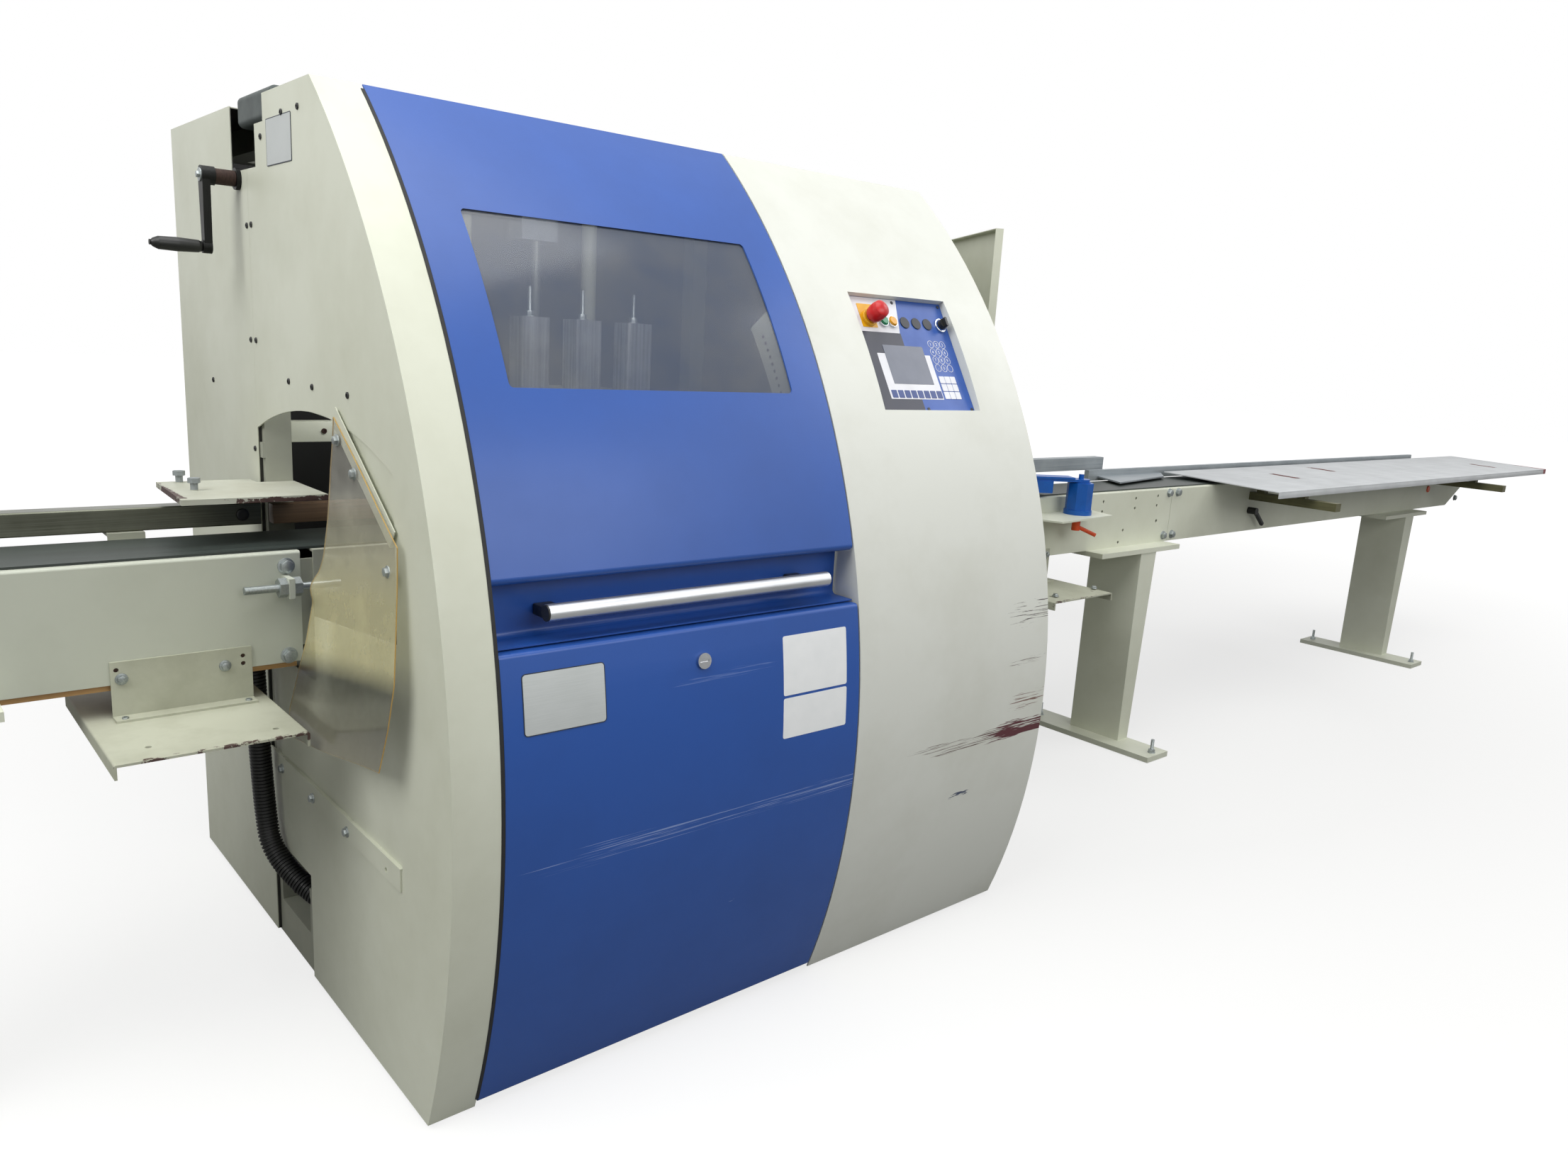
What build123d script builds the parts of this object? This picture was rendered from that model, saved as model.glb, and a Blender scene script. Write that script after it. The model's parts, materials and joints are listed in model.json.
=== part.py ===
from build123d import *
from math import asin, atan2, cos, degrees, hypot, pi, radians, sin, sqrt, tan
import os

# Optimizing crosscut saw: a bowed-front machine cabinet with a hood, an infeed belt on the left,
# a long outfeed belt with a side table on the right, and a saw unit that cuts upwards inside.
# Millimetres, +X along the feed, +Y away from the operator, +Z up, origin at the bottom centre.

os.makedirs("parts", exist_ok=True)

# Cabinet
CABINET_W = 1450.0
CABINET_D = 1421.0
CABINET_H = 1687.0
FRONT_R = 1511.0
BULGE_DROP = 1144.0
SHEET = 3.0
FLOOR_GAP = 5.0
SEAM_SET = 877.0
FIT = 0.3

# Reach of the conveyors beyond the cabinet's two sides
INFEED_REACH = 1350.0
OUTFEED_REACH = 4679.0

# Electrical cabinet behind the outfeed
ECAB_W = 716.0
ECAB_D = 350.0
ECAB_H = 1640.0
ECAB_SET = 1165.0
DOOR_Z = 1020.0
DOOR_OPEN = 59.0

# Front: cream strip, hood, lower cover, cream panel
STRIP_W = 83.0
PANEL_W = 604.0
SPLIT = 4.0
HOOD_T = 2.5
LIP_Z = 922.0
LIP_R = 14.0
RECESS_D = 50.0
COVER_TOP = 822.0
COVER_FOOT = 14.0
WINDOW_W = 589.0
WINDOW_H = 277.0
WINDOW_DROP = 196.0
HANDLE_R = 14.0
HANDLE_L = 594.0

# Control panel in the cream panel
CONTROL_W = 300.0
CONTROL_H = 270.0
CONTROL_Z = 1186.0
CONTROL_RECESS = 14.0

# Infeed arch in the left side and the curtain that hangs in it
ARCH_SET = 190.0
ARCH_SCREWS = ((201.0, 294.0), (325.0, 292.0), (493.0, 290.0))
CURTAIN_SET = 440.0
CURTAIN_W = 89.0
CURTAIN_DROP = 321.0
CURTAIN_RISE = 250.0

# Conveyors
BEAM_SET = 601.5
BEAM_W = 210.0
BEAM_T = 4.0
BELT_TOP = 893.0
BELT_T = 4.0
BELT_W = 180.0
DRUM_R = 45.0
SHAFT_R = 10.0
RUN = 0.05
INFEED_BEAM_Z = 683.0
OUTFEED_BEAM_Z = 700.0
BEAM_GAP = 15.0
NEAR_BEAM_L = 1483.0
TABLE_L = 2915.0
TABLE_W = 455.0
TABLE_FALL = 17.0
TABLE_SLOTS = (230.0, 620.0, 2120.0)
TABLE_ARMS = (316.0, 2076.0)
FOOT_HOLE_R = 8.0
LEG_PLATE_L = 470.0
LEG_PLATE_W = 215.0
FENCE_ANGLE_NEAR = 170.0
FENCE_ANGLE_FAR = 1830.0
FENCE_ANGLE_END = 235.0
SHELF_L = 288.0
INFEED_SHELF = 368.0
OUTFEED_SHELF = 544.0
INFEED_LEG = 717.0
NEAR_LEG = 254.0
FAR_LEG = 1973.0

# Saw unit
BLADE_R = 225.0
BLADE_T = 4.4
BLADE_TEETH = 60
BLADE_FROM_LEFT = 850.0
SAW_LIFT = 180.0

# Pressure unit and its crank
CRANK_SET = 930.0
CRANK_DROP = 136.0
CRANK_ARM = 130.0
COLUMN_R = 18.0
SPINDLE_R = 10.0

# Frame of the machine
BAR = 50.0
SIDE_IN = 8.0

# Derived positions
OVERALL_L = INFEED_REACH + CABINET_W + OUTFEED_REACH
OVERALL_D = ECAB_SET + ECAB_D
XL = -OVERALL_L / 2 + INFEED_REACH
XR = XL + CABINET_W
X_END = OVERALL_L / 2
YF = -OVERALL_D / 2
YB = YF + CABINET_D
Y_SEAM = YF + SEAM_SET
ARC_Y = YF + FRONT_R
BULGE_Z = CABINET_H - BULGE_DROP

DOOR_X0 = XL + STRIP_W + SPLIT
DOOR_X1 = XR - PANEL_W - SPLIT
PANEL_X = XR - PANEL_W

BEAM_Y = YF + BEAM_SET
BEAM_Y1 = BEAM_Y + BEAM_W
BELT_Y0 = BEAM_Y + (BEAM_W - BELT_W) / 2
BELT_Y1 = BELT_Y0 + BELT_W
BELT_MID = (BELT_Y0 + BELT_Y1) / 2
BED_TOP = BELT_TOP - BELT_T - FIT
DRUM_Z = BELT_TOP - BELT_T - DRUM_R
LOOP_R = DRUM_R + BELT_T

BLADE_X = XL + BLADE_FROM_LEFT
IN_DRIVE_X = BLADE_X - 90.0
OUT_DRIVE_X = BLADE_X + 130.0
IN_TAIL_X = XL - INFEED_REACH + LOOP_R
TABLE_X0 = X_END - TABLE_L
OUT_TAIL_X = X_END - 394.0
SPLICE_X = XR + BEAM_GAP + NEAR_BEAM_L

CRANK_Y = YF + CRANK_SET
CRANK_Z = CABINET_H - CRANK_DROP
POST_Y0 = CRANK_Y - COLUMN_R - 2 - BAR
POST_Y1 = POST_Y0 + BAR
BED_Z = INFEED_BEAM_Z - 3.0


def block(x0, x1, y0, y1, z0, z1):
    """Rectangular block between six planes."""
    centre = Pos((x0 + x1) / 2, (y0 + y1) / 2, (z0 + z1) / 2)
    return centre * Box(x1 - x0, y1 - y0, z1 - z0)


def rod_x(r, x0, x1, y, z):
    return Pos((x0 + x1) / 2, y, z) * Rot(0, 90, 0) * Cylinder(r, x1 - x0)


def rod_y(r, x, y0, y1, z):
    return Pos(x, (y0 + y1) / 2, z) * Rot(90, 0, 0) * Cylinder(r, y1 - y0)


def rod_z(r, x, y, z0, z1):
    return Pos(x, y, (z0 + z1) / 2) * Cylinder(r, z1 - z0)


def prism_x(points, x0, x1):
    """Outline in (y, z) drawn out along X."""
    face = make_face(Polyline(*points, close=True))
    return Pos(x0, 0, 0) * extrude(Plane.YZ * face, x1 - x0)


def prism_y(points, y0, y1):
    """Outline in (x, z) drawn out along Y."""
    face = make_face(Polyline(*points, close=True))
    return Pos(0, y1, 0) * extrude(Plane.XZ * face, y1 - y0)


def prism_z(points, z0, z1):
    """Outline in (x, y) drawn out along Z."""
    face = make_face(Polyline(*points, close=True))
    return Pos(0, 0, z0) * extrude(face, z1 - z0)


def front_y(z, inset=0.0):
    """Where the bowed front lies at height z."""
    return ARC_Y - sqrt((FRONT_R - inset) ** 2 - (z - BULGE_Z) ** 2)


def front_arc(z0, z1, inset=0.0):
    """Arc of the bowed front in (y, z), from z0 to z1."""
    zm = (z0 + z1) / 2
    return ThreePointArc(
        (front_y(z0, inset), z0), (front_y(zm, inset), zm), (front_y(z1, inset), z1)
    )


def bowed(x0, x1, z0, z1, inset, depth):
    """Piece that follows the bowed front between two heights."""
    outer = front_arc(z0, z1, inset)
    inner = front_arc(z1, z0, inset + depth)
    face = make_face([outer, Line(outer @ 1, inner @ 0), inner, Line(inner @ 1, outer @ 0)])
    return Pos(x0, 0, 0) * extrude(Plane.YZ * face, x1 - x0)


def folded(edges, corners, radius, thick, x0, x1):
    """Sheet folded along a path in (y, z), with its thickness on the inner side, away from the front."""
    path = Wire(edges)
    picks = [path.vertices().sort_by_distance((y, z))[0] for y, z in corners]
    path = path.fillet_2d(radius, picks)
    walls = [make_face(path.offset_2d(thick, kind=Kind.ARC, side=way)) for way in (Side.LEFT, Side.RIGHT)]
    inner = max(walls, key=lambda wall: wall.center().X)
    return Pos(x0, 0, 0) * extrude(Plane.YZ * inner, x1 - x0)


def screw_hole_x(r, x, y, z):
    return rod_x(r, x - 3 * SHEET, x + 3 * SHEET, y, z)


def screw_hole_y(r, x, y, z):
    return rod_y(r, x, y - 3 * BEAM_T, y + 3 * BEAM_T, z)


# Where the inner frame stands
LEFT_X0 = XL + SIDE_IN
LEFT_X1 = LEFT_X0 + BAR
RIGHT_X1 = XR - SIDE_IN
RIGHT_X0 = RIGHT_X1 - BAR
REAR_Y1 = YB - SHEET - FIT
REAR_Y0 = REAR_Y1 - BAR
FRAME_TOP = CABINET_H - SHEET - FIT
RAIL_H = 80.0
FRONT_RAIL_Y = front_y(0) + 45.0

HOOD_AXIS_Y = front_y(CABINET_H) + 25.0
HOOD_AXIS_Z = CABINET_H - 19.0
HOOD_PIN_R = 8.0
HOOD_EARS = (DOOR_X0 + 50.0, DOOR_X1 - 60.0)
EAR_T = 10.0

COVER_AXIS_Y = front_y(30.0) + 22.0
COVER_AXIS_Z = 30.0
COVER_PIN_R = 6.0
COVER_LUGS = (DOOR_X0 + HOOD_T + 4.0, DOOR_X1 - HOOD_T - 14.0)

SPINDLE_X = XL + 630.0
COLUMN_XS = (SPINDLE_X - 160.0, SPINDLE_X + 160.0)
COLUMN_Y = CRANK_Y + SHAFT_R + COLUMN_R + 6.0

TOWER_X1 = BLADE_X - 110.0
TOWER_Y0 = COLUMN_Y + COLUMN_R + 10.0
TOWER_Y1 = TOWER_Y0 + 180.0
TOWER_RAILS = (TOWER_Y0 + 30.0, TOWER_Y1 - 30.0)
TOWER_TOP = BELT_TOP + 67.0
TRACK_H = 12.0
LIFT_X = BLADE_X - 24.0
LIFT_Y = (TOWER_Y0 + TOWER_Y1) / 2

ARBOR_Y = BELT_MID + 20.0
ARBOR_Z = BELT_TOP - BLADE_R - 18.0
CASE_X0 = BLADE_X + 18.0
CASE_X1 = CASE_X0 + 50.0
CASE_R = 45.0
MOTOR_Y = LIFT_Y + 10.0
LIFT_BORE_R = 26.0
ROD_LIFT_R = 12.0
PISTON_Z = RAIL_H + 110.0
PISTON_H = 22.0

STAND_X0 = IN_DRIVE_X - 120.0
STAND_X1 = OUT_DRIVE_X + 20.0

CONDUIT_R = 21.0
CONDUIT_X = XL - 30.0
CONDUIT_Y = BEAM_Y1 + 32.0
CONDUIT_TOP = INFEED_BEAM_Z + 10.0
CONDUIT_TURN = (CONDUIT_X, CONDUIT_Y + 2.0, 330.0)
CONDUIT_BEND = (CONDUIT_X + 4.0, CONDUIT_Y - 55.0, 190.0)
CONDUIT_END = (XL + 48.0, CONDUIT_Y - 187.0, 135.0)


def inner_bed(x0, x1, drum_x, bed_x0, bed_x1):
    """Side plates and slide bed inside the cabinet that carry one end of a belt."""
    shaft = rod_y(SHAFT_R + RUN, drum_x, BEAM_Y - 1, BEAM_Y1 + 1, DRUM_Z)
    front = block(x0, x1, BEAM_Y, BEAM_Y + BEAM_T, BED_Z, BED_TOP) - shaft
    rear = block(x0, x1, BEAM_Y1 - BEAM_T, BEAM_Y1, BED_Z, BED_TOP) - shaft
    bed = block(bed_x0, bed_x1, BEAM_Y + BEAM_T, BEAM_Y1 - BEAM_T, BED_TOP - BEAM_T, BED_TOP)
    return [front, rear, bed]


STEP_Z = CRANK_Z - 71.0
STEP_X = LEFT_X1 + 34.0
TOP_Z = FRAME_TOP - BAR
MID_RAIL = (COLUMN_Y - BAR, COLUMN_Y + BAR / 2)


def floor_ring():
    """Bars on the floor: the ring, its middle rail and the ties between them."""
    bars = [block(x, x + BAR, FRONT_RAIL_Y, REAR_Y1, 0, RAIL_H) for x in (LEFT_X0, RIGHT_X0)]
    for y0, y1 in ((FRONT_RAIL_Y, FRONT_RAIL_Y + BAR), MID_RAIL, (REAR_Y0, REAR_Y1)):
        bars.append(block(LEFT_X1, RIGHT_X0, y0, y1, 0, RAIL_H))
    for x0, x1 in ((TOWER_X1 - 100, TOWER_X1), (LIFT_X - 30, LIFT_X + 30)):
        bars.append(block(x0, x1, MID_RAIL[1], REAR_Y0, 0, RAIL_H))
    for x in (STAND_X0 - BAR, STAND_X1):
        bars.append(block(x, x + BAR, FRONT_RAIL_Y + BAR, MID_RAIL[0], 0, RAIL_H))
    return bars


def padded_post(x0, y0, y1, z1, pads):
    """Upright bar with pads on its outer side for the sheets; pads are spans in y."""
    post = block(x0, x0 + BAR, y0, y1, RAIL_H, z1)
    outer = (XL + SHEET, x0) if x0 < BLADE_X else (x0 + BAR, XR - SHEET)
    for z in (CRANK_Z - 509, CRANK_Z - 298, CRANK_Z - 86):
        for a, b in pads:
            post += block(*outer, a, b, z - 15, z + 15)
    return post


def posts():
    """Four posts; the left one stops below the cable notch and steps inwards to the top ring."""
    seam_pads = ((POST_Y0, Y_SEAM - 1), (Y_SEAM + 3, POST_Y1))
    bars = [padded_post(LEFT_X0, POST_Y0, POST_Y1, STEP_Z, seam_pads)]
    bars.append(block(LEFT_X0, STEP_X + BAR, POST_Y0, POST_Y1, STEP_Z, STEP_Z + BAR))
    bars.append(block(STEP_X, STEP_X + BAR, POST_Y0, POST_Y1, STEP_Z + BAR, TOP_Z))
    bars.append(padded_post(RIGHT_X0, POST_Y0, POST_Y1, TOP_Z, seam_pads))
    for x in (LEFT_X0, RIGHT_X0):
        bars.append(padded_post(x, REAR_Y0, REAR_Y1, TOP_Z, ((REAR_Y0, REAR_Y1),)))
    return bars


def top_ring():
    """Bars under the lid, with the lugs and pins of the hood's hinge."""
    hood_rail = HOOD_AXIS_Y + 28.0
    bars = [block(x, x + BAR, hood_rail, REAR_Y0, TOP_Z, FRAME_TOP) for x in (STEP_X, RIGHT_X0)]
    for y in (hood_rail, POST_Y0):
        bars.append(block(STEP_X + BAR, RIGHT_X0, y, y + BAR, TOP_Z, FRAME_TOP))
    bars.append(block(LEFT_X0, RIGHT_X1, REAR_Y0, REAR_Y1, TOP_Z, FRAME_TOP))
    for x in HOOD_EARS:
        lug = block(x - 16, x - 1, HOOD_AXIS_Y - 12, hood_rail, HOOD_AXIS_Z - 18, HOOD_AXIS_Z + 12)
        bars.append(lug + rod_x(HOOD_PIN_R, x - 4, x + EAR_T + 8, HOOD_AXIS_Y, HOOD_AXIS_Z))
    return bars


def bed_stands():
    """Stands under the two belt beds, open between them for the saw, and their fish plates."""
    bars = []
    for x0, x1, post_x in ((LEFT_X1, STAND_X0, STAND_X0 - BAR), (STAND_X1, RIGHT_X0, STAND_X1)):
        for y in (BEAM_Y, BEAM_Y1 - BAR):
            bars.append(block(x0, x1, y, y + BAR, BED_Z - BAR, BED_Z))
            bars.append(block(post_x, post_x + BAR, y, y + BAR, RAIL_H, BED_Z - BAR))
    for x in (LEFT_X0, RIGHT_X0):
        bars.append(block(x, x + BAR, BEAM_Y, POST_Y0, BED_Z - BAR, BED_Z))
    bars += inner_bed(LEFT_X0, IN_DRIVE_X + 46, IN_DRIVE_X, LEFT_X0, IN_DRIVE_X - LOOP_R - 6)
    bars += inner_bed(OUT_DRIVE_X - 40, RIGHT_X1, OUT_DRIVE_X, OUT_DRIVE_X + LOOP_R + 6, RIGHT_X1)
    for x0, x1 in ((XL - 80, LEFT_X0 + 60), (RIGHT_X1 - 60, XR + 80)):
        for y in (BEAM_Y + BEAM_T, BEAM_Y1 - BEAM_T - 6):
            bars.append(block(x0, x1, y, y + 6, OUTFEED_BEAM_Z + 12, BED_TOP - BEAM_T - 12))
    return bars


def saw_tower():
    """Tower with two tracks for the saw carriage, and the guide columns of the pressure beam."""
    bars = [block(TOWER_X1 - 100, TOWER_X1, TOWER_Y0, TOWER_Y1, RAIL_H, TOWER_TOP)]
    for y in TOWER_RAILS:
        bars.append(block(TOWER_X1, TOWER_X1 + TRACK_H, y - 10, y + 10, 300, TOWER_TOP - 20))
    for x in COLUMN_XS:
        bars.append(rod_z(COLUMN_R, x, COLUMN_Y, RAIL_H, TOP_Z))
        bars.append(block(x - 30, x + 30, POST_Y1, COLUMN_Y + 26, TOP_Z, FRAME_TOP - 8))
    return bars


def cover_lugs():
    """Lugs and pins of the lower cover on the front floor rail."""
    lugs = []
    for x0, side in zip(COVER_LUGS, (-1, 1)):
        lug = block(x0, x0 + 10, COVER_AXIS_Y - 11, FRONT_RAIL_Y, COVER_AXIS_Z - 11, COVER_AXIS_Z + 11)
        pin_x = x0 if side < 0 else x0 + 10
        pin_end = pin_x + side * (HOOD_T + 4)
        pin = rod_x(COVER_PIN_R, min(pin_x, pin_end), max(pin_x, pin_end), COVER_AXIS_Y, COVER_AXIS_Z)
        lugs.append(lug + pin)
    return lugs


def conduit_box():
    """Box on the left floor rail where the conduit enters."""
    run = Vector(*CONDUIT_END) - Vector(*CONDUIT_BEND)
    end_x, end_y, end_z = CONDUIT_END
    box = block(LEFT_X0, LEFT_X0 + 110, end_y - 100, end_y + 30, RAIL_H, end_z + 45)
    return box - Plane(origin=CONDUIT_END, z_dir=run.normalized()) * Cylinder(CONDUIT_R + 1.5, 150)


def base_frame():
    """Welded frame, bar by bar: each bar butts against the ones that carry it."""
    bars = floor_ring() + posts() + top_ring() + bed_stands() + saw_tower() + cover_lugs()
    return Compound(children=bars + [conduit_box()])


def side_outline(rear_cut):
    """Front half of a side sheet in (y, z), bowed at the front, with its passage cut out."""
    z0, z1 = FLOOR_GAP, CABINET_H
    arc = front_arc(z0, z1)
    rim = [arc, Line(arc @ 1, (Y_SEAM, z1)), Line((Y_SEAM, z1), (Y_SEAM, z0)), Line((Y_SEAM, z0), arc @ 0)]
    sheet = make_face(rim)
    front = front_y(BULGE_Z) + ARCH_SET
    left = (Y_SEAM + 1, BELT_TOP + 192)
    crown = (front + 344, BELT_TOP + 248)
    right = (front + 12, BELT_TOP + 183)
    sill_z = 425.0
    hole = make_face(
        [
            ThreePointArc(left, crown, right),
            Line(right, (front, sill_z)),
            Line((front, sill_z), (Y_SEAM + 1, sill_z)),
            Line((Y_SEAM + 1, sill_z), left),
        ]
    )
    sheet -= hole
    if rear_cut:
        low = Pos(Y_SEAM - 100, 110) * Rectangle(256, 230)
        notch = Pos(Y_SEAM, z1) * Rectangle(2 * 104, 2 * 47)
        notch += Pos(Y_SEAM, z1) * Rectangle(2 * 54, 2 * 121)
        sheet = sheet - low - notch
    return sheet


def left_side_panel():
    """Left side sheet with the infeed arch, folded round into the narrow cream strip."""
    sheet = Pos(XL, 0, 0) * extrude(Plane.YZ * side_outline(True), SHEET)
    sheet += bowed(XL, XL + STRIP_W, FLOOR_GAP, CABINET_H, 0, SHEET)
    sheet += bowed(XL + STRIP_W - SHEET, XL + STRIP_W, FLOOR_GAP, CABINET_H, 0, 25)
    sheet += block(XL, XL + 64, Y_SEAM - 140, Y_SEAM - 104, CABINET_H - 47, CABINET_H - 44)
    for set_back, rise in ARCH_SCREWS:
        sheet -= screw_hole_x(4, XL, Y_SEAM - set_back, BELT_TOP + rise)
    for set_back in (210, 295):
        sheet -= screw_hole_x(4, XL, Y_SEAM - set_back, CABINET_H - 43)
    return sheet


def left_infill_panel():
    """Inner sheet behind the arch, with the folded lip that holds the curtain and a bolted foot strip."""
    front = front_y(BULGE_Z) + ARCH_SET
    x0 = XL + SHEET + FIT
    top = BELT_TOP + 262
    plate = prism_x(
        [(Y_SEAM - 30, 400), (Y_SEAM - 30, top), (front - 22, top), (front - 22, 400)], x0, x0 + 2
    )
    lip_low = (front - 8, BELT_TOP + 54)
    lip_high = (Y_SEAM - 425, BELT_TOP + 243)
    passage = [
        (Y_SEAM - 25, 640),
        (BEAM_Y - 10, 640),
        (BEAM_Y - 10, BELT_TOP - 127),
        (front, BELT_TOP - 86),
        lip_low,
        lip_high,
        (Y_SEAM - 25, lip_high[1] + 14),
    ]
    plate -= prism_x(passage, x0 - 1, x0 + 3)

    # Folded lip along the slanted edge
    slant = atan2(lip_high[1] - lip_low[1], lip_high[0] - lip_low[0])
    length = hypot(lip_high[0] - lip_low[0], lip_high[1] - lip_low[1])
    at = Pos(XL, lip_low[0], lip_low[1]) * Rot(degrees(slant), 0, 0)
    plate += at * block(-6, SHEET + FIT + 2, 28, length - 6, 0, 2)
    plate += at * block(-6, -4, 28, length - 6, 0, 34)

    # Strip bolted to the outside under the arch
    sill_z = 425.0
    plate += block(XL - 3 - FIT, x0 + 2, front + 2, Y_SEAM - 34, sill_z + FIT, sill_z + 4)
    plate += block(XL - 3 - FIT, XL - FIT, front + 2, Y_SEAM - 34, 388, sill_z + 4)
    for k in range(4):
        plate -= screw_hole_x(5, XL, front + 62 + 180 * k, 403)
    return plate


def infeed_curtain():
    """Limp clear sheet that hangs from the lip and bows out beside the infeed shelf."""
    front = front_y(BULGE_Z) + ARCH_SET
    y_front = front - 14
    y_top = Y_SEAM - CURTAIN_SET
    y_low = y_top + CURTAIN_W
    z0 = BELT_TOP - CURTAIN_DROP
    z1 = BELT_TOP + CURTAIN_RISE
    thick = 2.0
    x_top = XL - 6 - FIT
    sections = []
    for y, swell in ((y_front, 44.0), (y_low, 62.0)):
        top = (x_top, z1)
        mid = (x_top - 0.34 * swell, (z0 + z1) / 2 + 30)
        low = (x_top - swell, z0)
        outer = ThreePointArc(top, mid, low)
        back = [(x - thick, z) for x, z in (low, mid, top)]
        inner = ThreePointArc(*back)
        rim = [outer, Line(outer @ 1, inner @ 0), inner, Line(inner @ 1, outer @ 0)]
        sections.append(Pos(0, y, 0) * (Plane.XZ * make_face(rim)))
    sheet = loft(sections, ruled=True)

    # Cut to its outline: slanted top under the lip's bolts, slanted back edge, rising hem
    lip_low = (front - 8, BELT_TOP + 54)
    lip_high = (Y_SEAM - 425, BELT_TOP + 243)
    rise = (lip_high[1] - lip_low[1]) / (lip_high[0] - lip_low[0])
    head = lip_low[1] + 26 + rise * (y_top - lip_low[0])
    outline = [
        (y_front - 1, lip_low[1] + 26 + rise * (y_front - lip_low[0])),
        (y_top, head),
        (y_top, BELT_TOP + 10),
        (y_low + 1, z0 + 20),
        (y_low + 1, z0),
        (y_front - 1, z0 + 34),
    ]
    return sheet & prism_x(outline, XL - 200, XL + 50)


def rear_casing():
    """Folded sheet round the back half: left rear side, back with the extraction collar, right rear side."""
    z0 = FLOOR_GAP
    y0 = Y_SEAM + 0.5
    notch = CABINET_H - 121
    casing = block(XL, XL + SHEET, y0, YB, z0, CABINET_H)
    casing -= block(XL - 1, XL + SHEET + 1, y0 - 1, y0 + 97, notch, CABINET_H + 1)
    casing -= rod_x(13, XL - 1, XL + SHEET + 1, CRANK_Y, CRANK_Z)
    casing += block(XR - SHEET, XR, y0, YB, z0, CABINET_H)
    casing += block(XL, XR, YB - SHEET, YB, z0, CABINET_H)
    casing += block(XL, XL + SIDE_IN - FIT, y0, y0 + 2, z0, notch)
    collar_z = 430.0
    outlet = rod_y(80, BLADE_X, YB - SHEET, YB + 60, collar_z)
    casing = casing + outlet - rod_y(78, BLADE_X, YB - 10, YB + 61, collar_z)
    for y, drop in ((16, 86), (16, 298), (16, 509), (297, 392)):
        casing -= screw_hole_x(4, XL, y0 + y, CRANK_Z - drop)
    return casing


def top_panel():
    """Lid of the cabinet, cut away at the cable notch."""
    y0 = HOOD_AXIS_Y + 30.0
    lid = block(XL + SHEET + FIT, XR - SHEET - FIT, y0, YB - SHEET - FIT, CABINET_H - SHEET, CABINET_H)
    lid -= block(XL, XL + 72, Y_SEAM - 145, Y_SEAM + 104, CABINET_H - 10, CABINET_H + 10)
    return lid


def cable_connector():
    """Moulded hood of the multi-pin connector that sits in the notch."""
    body = block(XL + 4, XL + 60, Y_SEAM - 138, Y_SEAM + 60, CABINET_H - 43.7, CABINET_H + 13)
    body = fillet(body.edges().filter_by(Axis.Y), 12)
    return fillet(body.faces().sort_by(Axis.Z)[-1].edges(), 6)


# Control panel plane: chord of the bowed front, set back by the recess
PHI_0 = asin((CONTROL_Z - BULGE_Z) / FRONT_R)
PHI_HALF = asin(CONTROL_H / 2 / FRONT_R)
PHI_MID = PHI_0 + PHI_HALF
CONTROL_X = PANEL_X + 154.0 + CONTROL_W / 2
NORMAL = Vector(0, -cos(PHI_MID), sin(PHI_MID))
CHORD_R = FRONT_R * cos(PHI_HALF)
CONTROL = Plane(
    origin=Vector(CONTROL_X, ARC_Y, BULGE_Z) + NORMAL * (CHORD_R - CONTROL_RECESS),
    x_dir=(1, 0, 0),
    z_dir=NORMAL,
)
PLATE_T = 4.0
ROW_V = CONTROL_H / 2 - 56.0
ESTOP_UV = (-CONTROL_W / 2 + 53, ROW_V + 4)
START_UV = (-CONTROL_W / 2 + 95, ROW_V)
RESET_UV = (-CONTROL_W / 2 + 122, ROW_V)
SELECT_UV = (CONTROL_W / 2 - 23, ROW_V)
ESTOP_STEM_R = 9.0
ESTOP_R = 20.0
ESTOP_CROWN_R = 27.0
ESTOP_COLLAR_H = 8.0
ESTOP_TRAVEL = 6.0
BUTTON_R = 9.5
SELECT_STEM_R = 7.0


def on_panel(uv, z0, z1, shape_r):
    """Round piece standing on the control panel, from z0 to z1 above its face."""
    return CONTROL * Pos(uv[0], uv[1], (z0 + z1) / 2) * Cylinder(shape_r, z1 - z0)


def right_panel():
    """Bowed cream panel with the control recess, folded round into the right side sheet."""
    skin = bowed(PANEL_X, XR, FLOOR_GAP, CABINET_H, 0, SHEET)
    skin += Pos(XR - SHEET, 0, 0) * extrude(Plane.YZ * side_outline(False), SHEET)
    skin += bowed(PANEL_X, PANEL_X + SHEET, RAIL_H + 6, FRAME_TOP - BAR - 10, 0, 70)
    skin -= CONTROL * Pos(0, 0, 20) * Box(CONTROL_W, CONTROL_H, 120)
    depth = CONTROL_RECESS + 30.0
    low = -PLATE_T - 2.0
    wall = Pos(0, 0, low + depth / 2) * Box(CONTROL_W + 4, CONTROL_H + 4, depth)
    wall -= Pos(0, 0, low + depth / 2 + 2) * Box(CONTROL_W, CONTROL_H, depth)
    wall -= Pos(0, 0, 0) * Box(CONTROL_W - 14, CONTROL_H - 14, 200)
    drum = rod_x(FRONT_R - 0.5, PANEL_X, XR, ARC_Y, BULGE_Z)
    return skin + ((CONTROL * wall) & drum)


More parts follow.
